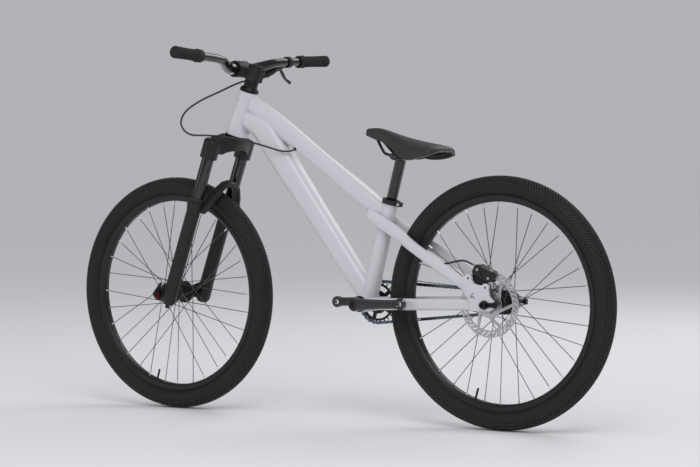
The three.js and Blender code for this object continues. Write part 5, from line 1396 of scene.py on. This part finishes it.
class BIKE_OT_lever(bpy.types.Operator):
    """Makes the brake lever's blade, its reservoir cap and its small screws"""

    bl_idname = "bike.lever"
    bl_label = "Brake lever"

    def place(self, out, away, pin=0.0):
        """A point of the lever's frame: out along the bar, away from it and along the pivot."""
        return LEVER_PIVOT - out * CROSS + away * LEVER_AWAY + pin * LEVER_PIN

    def execute(self, context):
        rings = []
        for i, (out, away, width, thickness) in enumerate(LEVER_BLADE):
            before = LEVER_BLADE[max(0, i - 1)]
            after = LEVER_BLADE[min(len(LEVER_BLADE) - 1, i + 1)]
            run = (self.place(*after[:2]) - self.place(*before[:2])).normalized()
            across = run.cross(LEVER_PIN)
            section = rounded_section(width, thickness, 0.42 * thickness, 4)
            rings.append([self.place(out, away) + x * LEVER_PIN + y * across for x, y in section])
        blade = lofted("blade", rings)
        outline = [(2.1, -3.2), (5.6, -3.2), (6, -2.8), (6, 2.8), (5.6, 3.2), (2.1, 3.2)]
        eye = turned("eye", outline, LEVER_PIVOT, LEVER_PIN, 32)
        whole = joined("lever_blade_skin", [blade, eye])
        settle(whole, "lever_blade", "black_matte", ["brake_lever_blade"])
        middle = self.place(-26.5, 15.8)
        along = (self.place(-36.4, 22.75) - self.place(-16.6, 8.75)).normalized()
        across = LEVER_PIN.cross(along)
        rings = []
        for rise, shrink in ((4, 0), (9.6, 0), (10.2, 1), (11.6, 1.2), (12.4, 2.6)):
            section = rounded_section(29 - shrink, 17 - shrink, 6, 5)
            rings.append([middle + x * along + y * across + rise * LEVER_PIN for x, y in section])
        cap = lofted("reservoir_cap", rings)
        settle(cap, "steering", "crank_black")
        screws = [(middle + s * 10.5 * along + 12 * LEVER_PIN, LEVER_PIN) for s in (1, -1)]
        screws.append((self.place(0, 0, 6), LEVER_PIN))
        bolts("lever_screws", "steering", "steel", 2.1, 1.5, screws)
        return {"FINISHED"}


class BIKE_OT_hoses(bpy.types.Operator):
    """Makes the two brake hoses with their nuts and the rubber ports where they enter the frame"""

    bl_idname = "bike.hoses"
    bl_label = "Brake hoses"

    def execute(self, context):
        size = context.scene.bike_sizes.hose_size
        hose, exit_point, length, points = self.hose("front_hose", HOSE_ROUTE, size)
        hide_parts("brake_hose")
        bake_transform(hose)
        self.port("front_hose_port", "top_tube_skin", points[::-1])
        hose, exit_point, length, points = self.hose("rear_hose", REAR_HOSE_ROUTE, size)
        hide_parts("brake_hose_rear")
        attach(hose, "frame")
        self.port("rear_hose_port", "seatstay_left_skin", points)
        self.nut("lever_hose_nut", "steering", HOSE_ROUTE[0], HOSE_ROUTE[1])
        self.nut("caliper_hose_nut", "frame", REAR_HOSE_ROUTE[-1], REAR_HOSE_ROUTE[-2])
        return {"FINISHED"}

    def port(self, name, skin, points):
        """A rubber ring on a tube's skin where a hose that starts inside the tube comes out."""
        tree = skin_tree(skin)
        for a, b in zip(points, points[1:]):
            start, end = Vector(a), Vector(b)
            place, normal, _, _ = tree.ray_cast(end, (start - end).normalized(), (end - start).length)
            if place is not None:
                break
        outline = [(2, -2), (5, -2), (5, 0.5), (4.6, 1.2), (3.6, 1.9), (2.6, 1.9)]
        ring = turned(name, outline, place / MM, normal, 32)
        return settle(ring, "frame", "seal_rubber")

    def nut(self, name, body, start, end):
        """A hexagon nut with a collar on a hose's end."""
        run = Vector(end) - Vector(start)
        outline = [(2.3, -2), (4.5, -2), (4.9, -1.6), (4.9, 3.4), (4.5, 3.8), (2.3, 3.8)]
        hexagon = turned("hexagon", outline, start, run, 6, 20)
        outline = [(2.3, 3), (3.7, 3), (3.7, 6.5), (3.2, 9.6), (2.3, 10)]
        collar = turned("collar", outline, start, run, 24)
        return settle(joined(name, [hexagon, collar]), body, "steel")

    def hose(self, name, route, size):
        """A hose on its route, with its start, its length and its path's points in metres."""
        points = smooth_line(route, 6)
        piece = swept(name, points, [size / MM / 2] * len(points), 12)
        piece.data.materials.append(finishes["hose"])
        path = [tuple(point * MM) for point in points]
        length = sum((b - a).length for a, b in zip(points, points[1:])) * MM
        print(name, "is", round(length, 4), "m long")
        return piece, path[0], length, path


# The brake caliper's own frame: its foot, the way along the dropout's tabs and the way off them.
CALIPER_FOOT = Vector((-470.8, 0, 357.3))
CALIPER_ALONG = Vector((0.909236, 0, 0.416281))
CALIPER_UP = Vector((-0.416281, 0, 0.909236))


def bolt_template(radius, height):
    """A cap bolt up the Z axis with a six sided socket in its rounded head."""
    middle = (0, 0, height / 2)
    bolt = primitive("cylinder", "bolt", vertices=24, radius=radius, depth=height, location=middle)
    bpy.ops.object.transform_apply(location=True)
    mesh = bolt.data
    bpy.ops.object.mode_set(mode="EDIT")
    bpy.ops.mesh.select_mode(type="FACE")
    bpy.ops.mesh.select_all(action="DESELECT")
    bpy.ops.object.mode_set(mode="OBJECT")
    for face in mesh.polygons:
        face.select = face.normal.z > 0.9
    bpy.ops.object.mode_set(mode="EDIT")
    bpy.ops.mesh.inset(thickness=radius * 0.14)
    bpy.ops.transform.translate(value=(0, 0, height * 0.12))
    bpy.ops.mesh.inset(thickness=radius * 0.34)
    bpy.ops.mesh.extrude_region_move(TRANSFORM_OT_translate={"value": (0, 0, -height * 0.6)})
    bpy.ops.object.mode_set(mode="OBJECT")
    return bolt


def bolts(name, body, material, radius, height, places):
    """Copies of one bolt at (place, axis) pairs, as one piece."""
    model = bolt_template(radius, height)
    copies = [copied(model, "bolt", along_axis(place, axis)) for place, axis in places]
    drop(model)
    piece = close_up(joined(name, copies), 35)
    return settle(piece, body, material)


class BIKE_OT_bolts(bpy.types.Operator):
    """Adds the small fasteners of the stem, fork, cranks, brake, seat clamp and frame"""

    bl_idname = "bike.bolts"
    bl_label = "Bolts"

    def execute(self, context):
        def steer(side, lead, rise):
            return HEAD_TOP + lead * HEAD_FORWARD + side * CROSS + rise * HEAD_AXIS

        face = []
        for side in (18, -18):
            for angle in (0.75, -0.75):
                lead, rise = math.cos(angle), math.sin(angle)
                place = steer(side, 48 + 21.4 * lead, 45.5 + 21.4 * rise)
                face.append((place, lead * HEAD_FORWARD + rise * HEAD_AXIS))
        bolts("faceplate_bolts", "steering", "steel", 3.4, 3, face)
        clamp = [(steer(-8, -22, rise), -CROSS) for rise in (41, 57)]
        bolts("stem_clamp_bolts", "steering", "steel", 3.2, 2.6, clamp)
        cap = [(steer(0, 0, 69.6), HEAD_AXIS)]
        bolts("cap_bolt", "steering", "black_anodised", 5.4, 2.4, cap)
        arms = [(BRACKET + side * 62.3 * CROSS, side * CROSS) for _, side in SIDES]
        bolts("crank_bolts", "cranks", "black_anodised", 9.6, 4.5, arms)
        hub = []
        for angle in np.arange(6) * math.pi / 3 + 0.3:
            spot = Vector((22 * math.cos(angle), ROTOR_PLANE + 0.9, 22 * math.sin(angle)))
            hub.append((REAR_AXLE + spot, CROSS))
        bolts("rotor_bolts", "rear_wheel", "steel", 3.3, 2.2, hub)
        behind = Vector((-26.5 * SEAT_AXIS.z, 9, 26.5 * SEAT_AXIS.x))
        post = [(BRACKET + SEAT_AXIS * 262.3 + behind, CROSS)]
        bolts("collar_bolt", "frame", "steel", 3.6, 3.4, post)
        caliper = [(self.on_caliper(x, 66, z), CROSS) for x, z in ((15, 27), (-20, 21))]
        caliper += [(self.on_caliper(x, 58.5, 38), CALIPER_UP) for x in (17, -17)]
        bolts("caliper_bolts", "frame", "steel", 3.3, 2.8, caliper)
        tree = skin_tree("fork_crown")
        caps = []
        for _, side in SIDES:
            above = steer(side * FORK_SPREAD, FORK_LEAD, 0) * MM
            place, _, _, _ = tree.ray_cast(above, -HEAD_AXIS)
            caps.append((place / MM, HEAD_AXIS))
        bolts("fork_caps", "steering", "crank_black", 6.4, 3.6, caps)
        out = (0.33 * HEAD_FORWARD + 0.944 * CROSS).normalized()
        rivets = [(HEAD_TOP + HEAD_AXIS * rise + 25 * out, out) for rise in (-25, -33)]
        bolts("head_tube_rivets", "frame", "black_anodised", 1.6, 1.2, rivets)
        return {"FINISHED"}

    def on_caliper(self, along, across, up):
        """A point of the brake caliper's own frame, which leans with the dropout's two tabs."""
        return CALIPER_FOOT + along * CALIPER_ALONG + across * CROSS + up * CALIPER_UP


class BIKE_OT_stage(bpy.types.Operator):
    """Sets the floor, the lamps and the camera"""

    bl_idname = "bike.stage"
    bl_label = "Stage"

    def execute(self, context):
        floor = primitive("plane", "floor", size=60)
        material = bpy.data.materials.new("pale_floor")
        material.use_nodes = True
        shader = material.node_tree.nodes["Principled BSDF"]
        shader.inputs["Base Color"].default_value = (0.78, 0.78, 0.79, 1)
        shader.inputs["Roughness"].default_value = 0.8
        shader.inputs["Specular IOR Level"].default_value = 0.2
        floor.data.materials.append(material)
        context.scene.world = self.studio()
        for name, place, size, power in (
            ("key", (-2.2, 2.6, 3.6), 2.4, 70),
            ("fill", (3.2, 3.4, 2.2), 3, 24),
            ("rim", (-0.5, -3.2, 3.2), 2.6, 45),
        ):
            lamp = bpy.data.lights.new(name, "AREA")
            lamp.size = size
            lamp.energy = power
            lamp_object = placed(name, lamp)
            lamp_object.location = place
            look = Vector((0, 0, 0.45)) - Vector(place)
            lamp_object.rotation_euler = look.to_track_quat("-Z", "Y").to_euler()
        self.set_camera(context)
        context.scene.view_settings.view_transform = "Standard"
        return {"FINISHED"}

    def studio(self):
        """A world with soft light, dark mirroring in black parts and a backdrop like the far floor."""
        world = bpy.data.worlds.new("studio")
        world.use_nodes = True
        nodes = world.node_tree.nodes
        links = world.node_tree.links
        paths = nodes.new("ShaderNodeLightPath")
        shader = nodes["Background"].outputs[0]
        nodes["Background"].inputs["Color"].default_value = (0.96, 0.97, 1, 1)
        nodes["Background"].inputs["Strength"].default_value = 0.62
        seen_by = (
            ("Is Glossy Ray", (0.24, 0.245, 0.25, 1)),
            ("Is Camera Ray", (0.445, 0.448, 0.468, 1)),
        )
        for ray, colour in seen_by:
            seen = nodes.new("ShaderNodeBackground")
            seen.inputs["Color"].default_value = colour
            mix = nodes.new("ShaderNodeMixShader")
            links.new(paths.outputs[ray], mix.inputs[0])
            links.new(shader, mix.inputs[1])
            links.new(seen.outputs[0], mix.inputs[2])
            shader = mix.outputs[0]
        links.new(shader, nodes["World Output"].inputs["Surface"])
        return world

    def set_camera(self, context):
        """Puts the camera where the photo was taken from, as found from the two wheels."""
        azimuth, elevation, roll = (math.radians(angle) for angle in CAMERA_ANGLES)
        flat = Vector((math.sin(azimuth), -math.cos(azimuth), 0))
        out = math.cos(elevation) * flat + math.sin(elevation) * UP
        right = (-out).cross(UP).normalized()
        up = right.cross(-out)
        across = math.cos(roll) * right + math.sin(roll) * up
        above = -math.sin(roll) * right + math.cos(roll) * up
        camera = bpy.data.cameras.new("camera")
        camera.sensor_width = SENSOR_WIDTH
        camera.lens = SENSOR_WIDTH * CAMERA_FOCAL / PICTURE_WIDTH
        camera_object = placed("camera", camera)
        turn = Matrix((across, above, out)).transposed().to_4x4()
        camera_object.matrix_world = Matrix.Translation(CAMERA_TARGET + CAMERA_DISTANCE * out) @ turn
        context.scene.camera = camera_object


OPERATORS = (
    BIKE_OT_stage,
    BIKE_OT_finishes,
    BIKE_OT_frame_tubes,
    BIKE_OT_welds,
    BIKE_OT_wheels,
    BIKE_OT_rotor,
    BIKE_OT_chain,
    BIKE_OT_cranks,
    BIKE_OT_saddle,
    BIKE_OT_cockpit,
    BIKE_OT_lever,
    BIKE_OT_hoses,
    BIKE_OT_bolts,
)


class BIKE_PT_panel(bpy.types.Panel):
    """The bike's steps, sizes and colours"""

    bl_idname = "BIKE_PT_panel"
    bl_label = "Dirt jump bike"
    bl_space_type = "VIEW_3D"
    bl_region_type = "UI"
    bl_category = "Bike"

    def draw(self, context):
        for group in (context.scene.bike_sizes, context.scene.bike_colours):
            for name in group.__annotations__:
                self.layout.prop(group, name)
        for operator in OPERATORS:
            self.layout.operator(operator.bl_idname)


CLASSES = (BikeSizes, BikeColours, *OPERATORS, BIKE_PT_panel)


def register():
    for item in CLASSES:
        bpy.utils.register_class(item)
    bpy.types.Scene.bike_sizes = PointerProperty(type=BikeSizes)
    bpy.types.Scene.bike_colours = PointerProperty(type=BikeColours)


def unregister():
    del bpy.types.Scene.bike_colours
    del bpy.types.Scene.bike_sizes
    for item in reversed(CLASSES):
        bpy.utils.unregister_class(item)


def main():
    register()
    for operator in OPERATORS:
        group, name = operator.bl_idname.split(".")
        getattr(getattr(bpy.ops, group), name)()


if __name__ == "__main__":
    main()
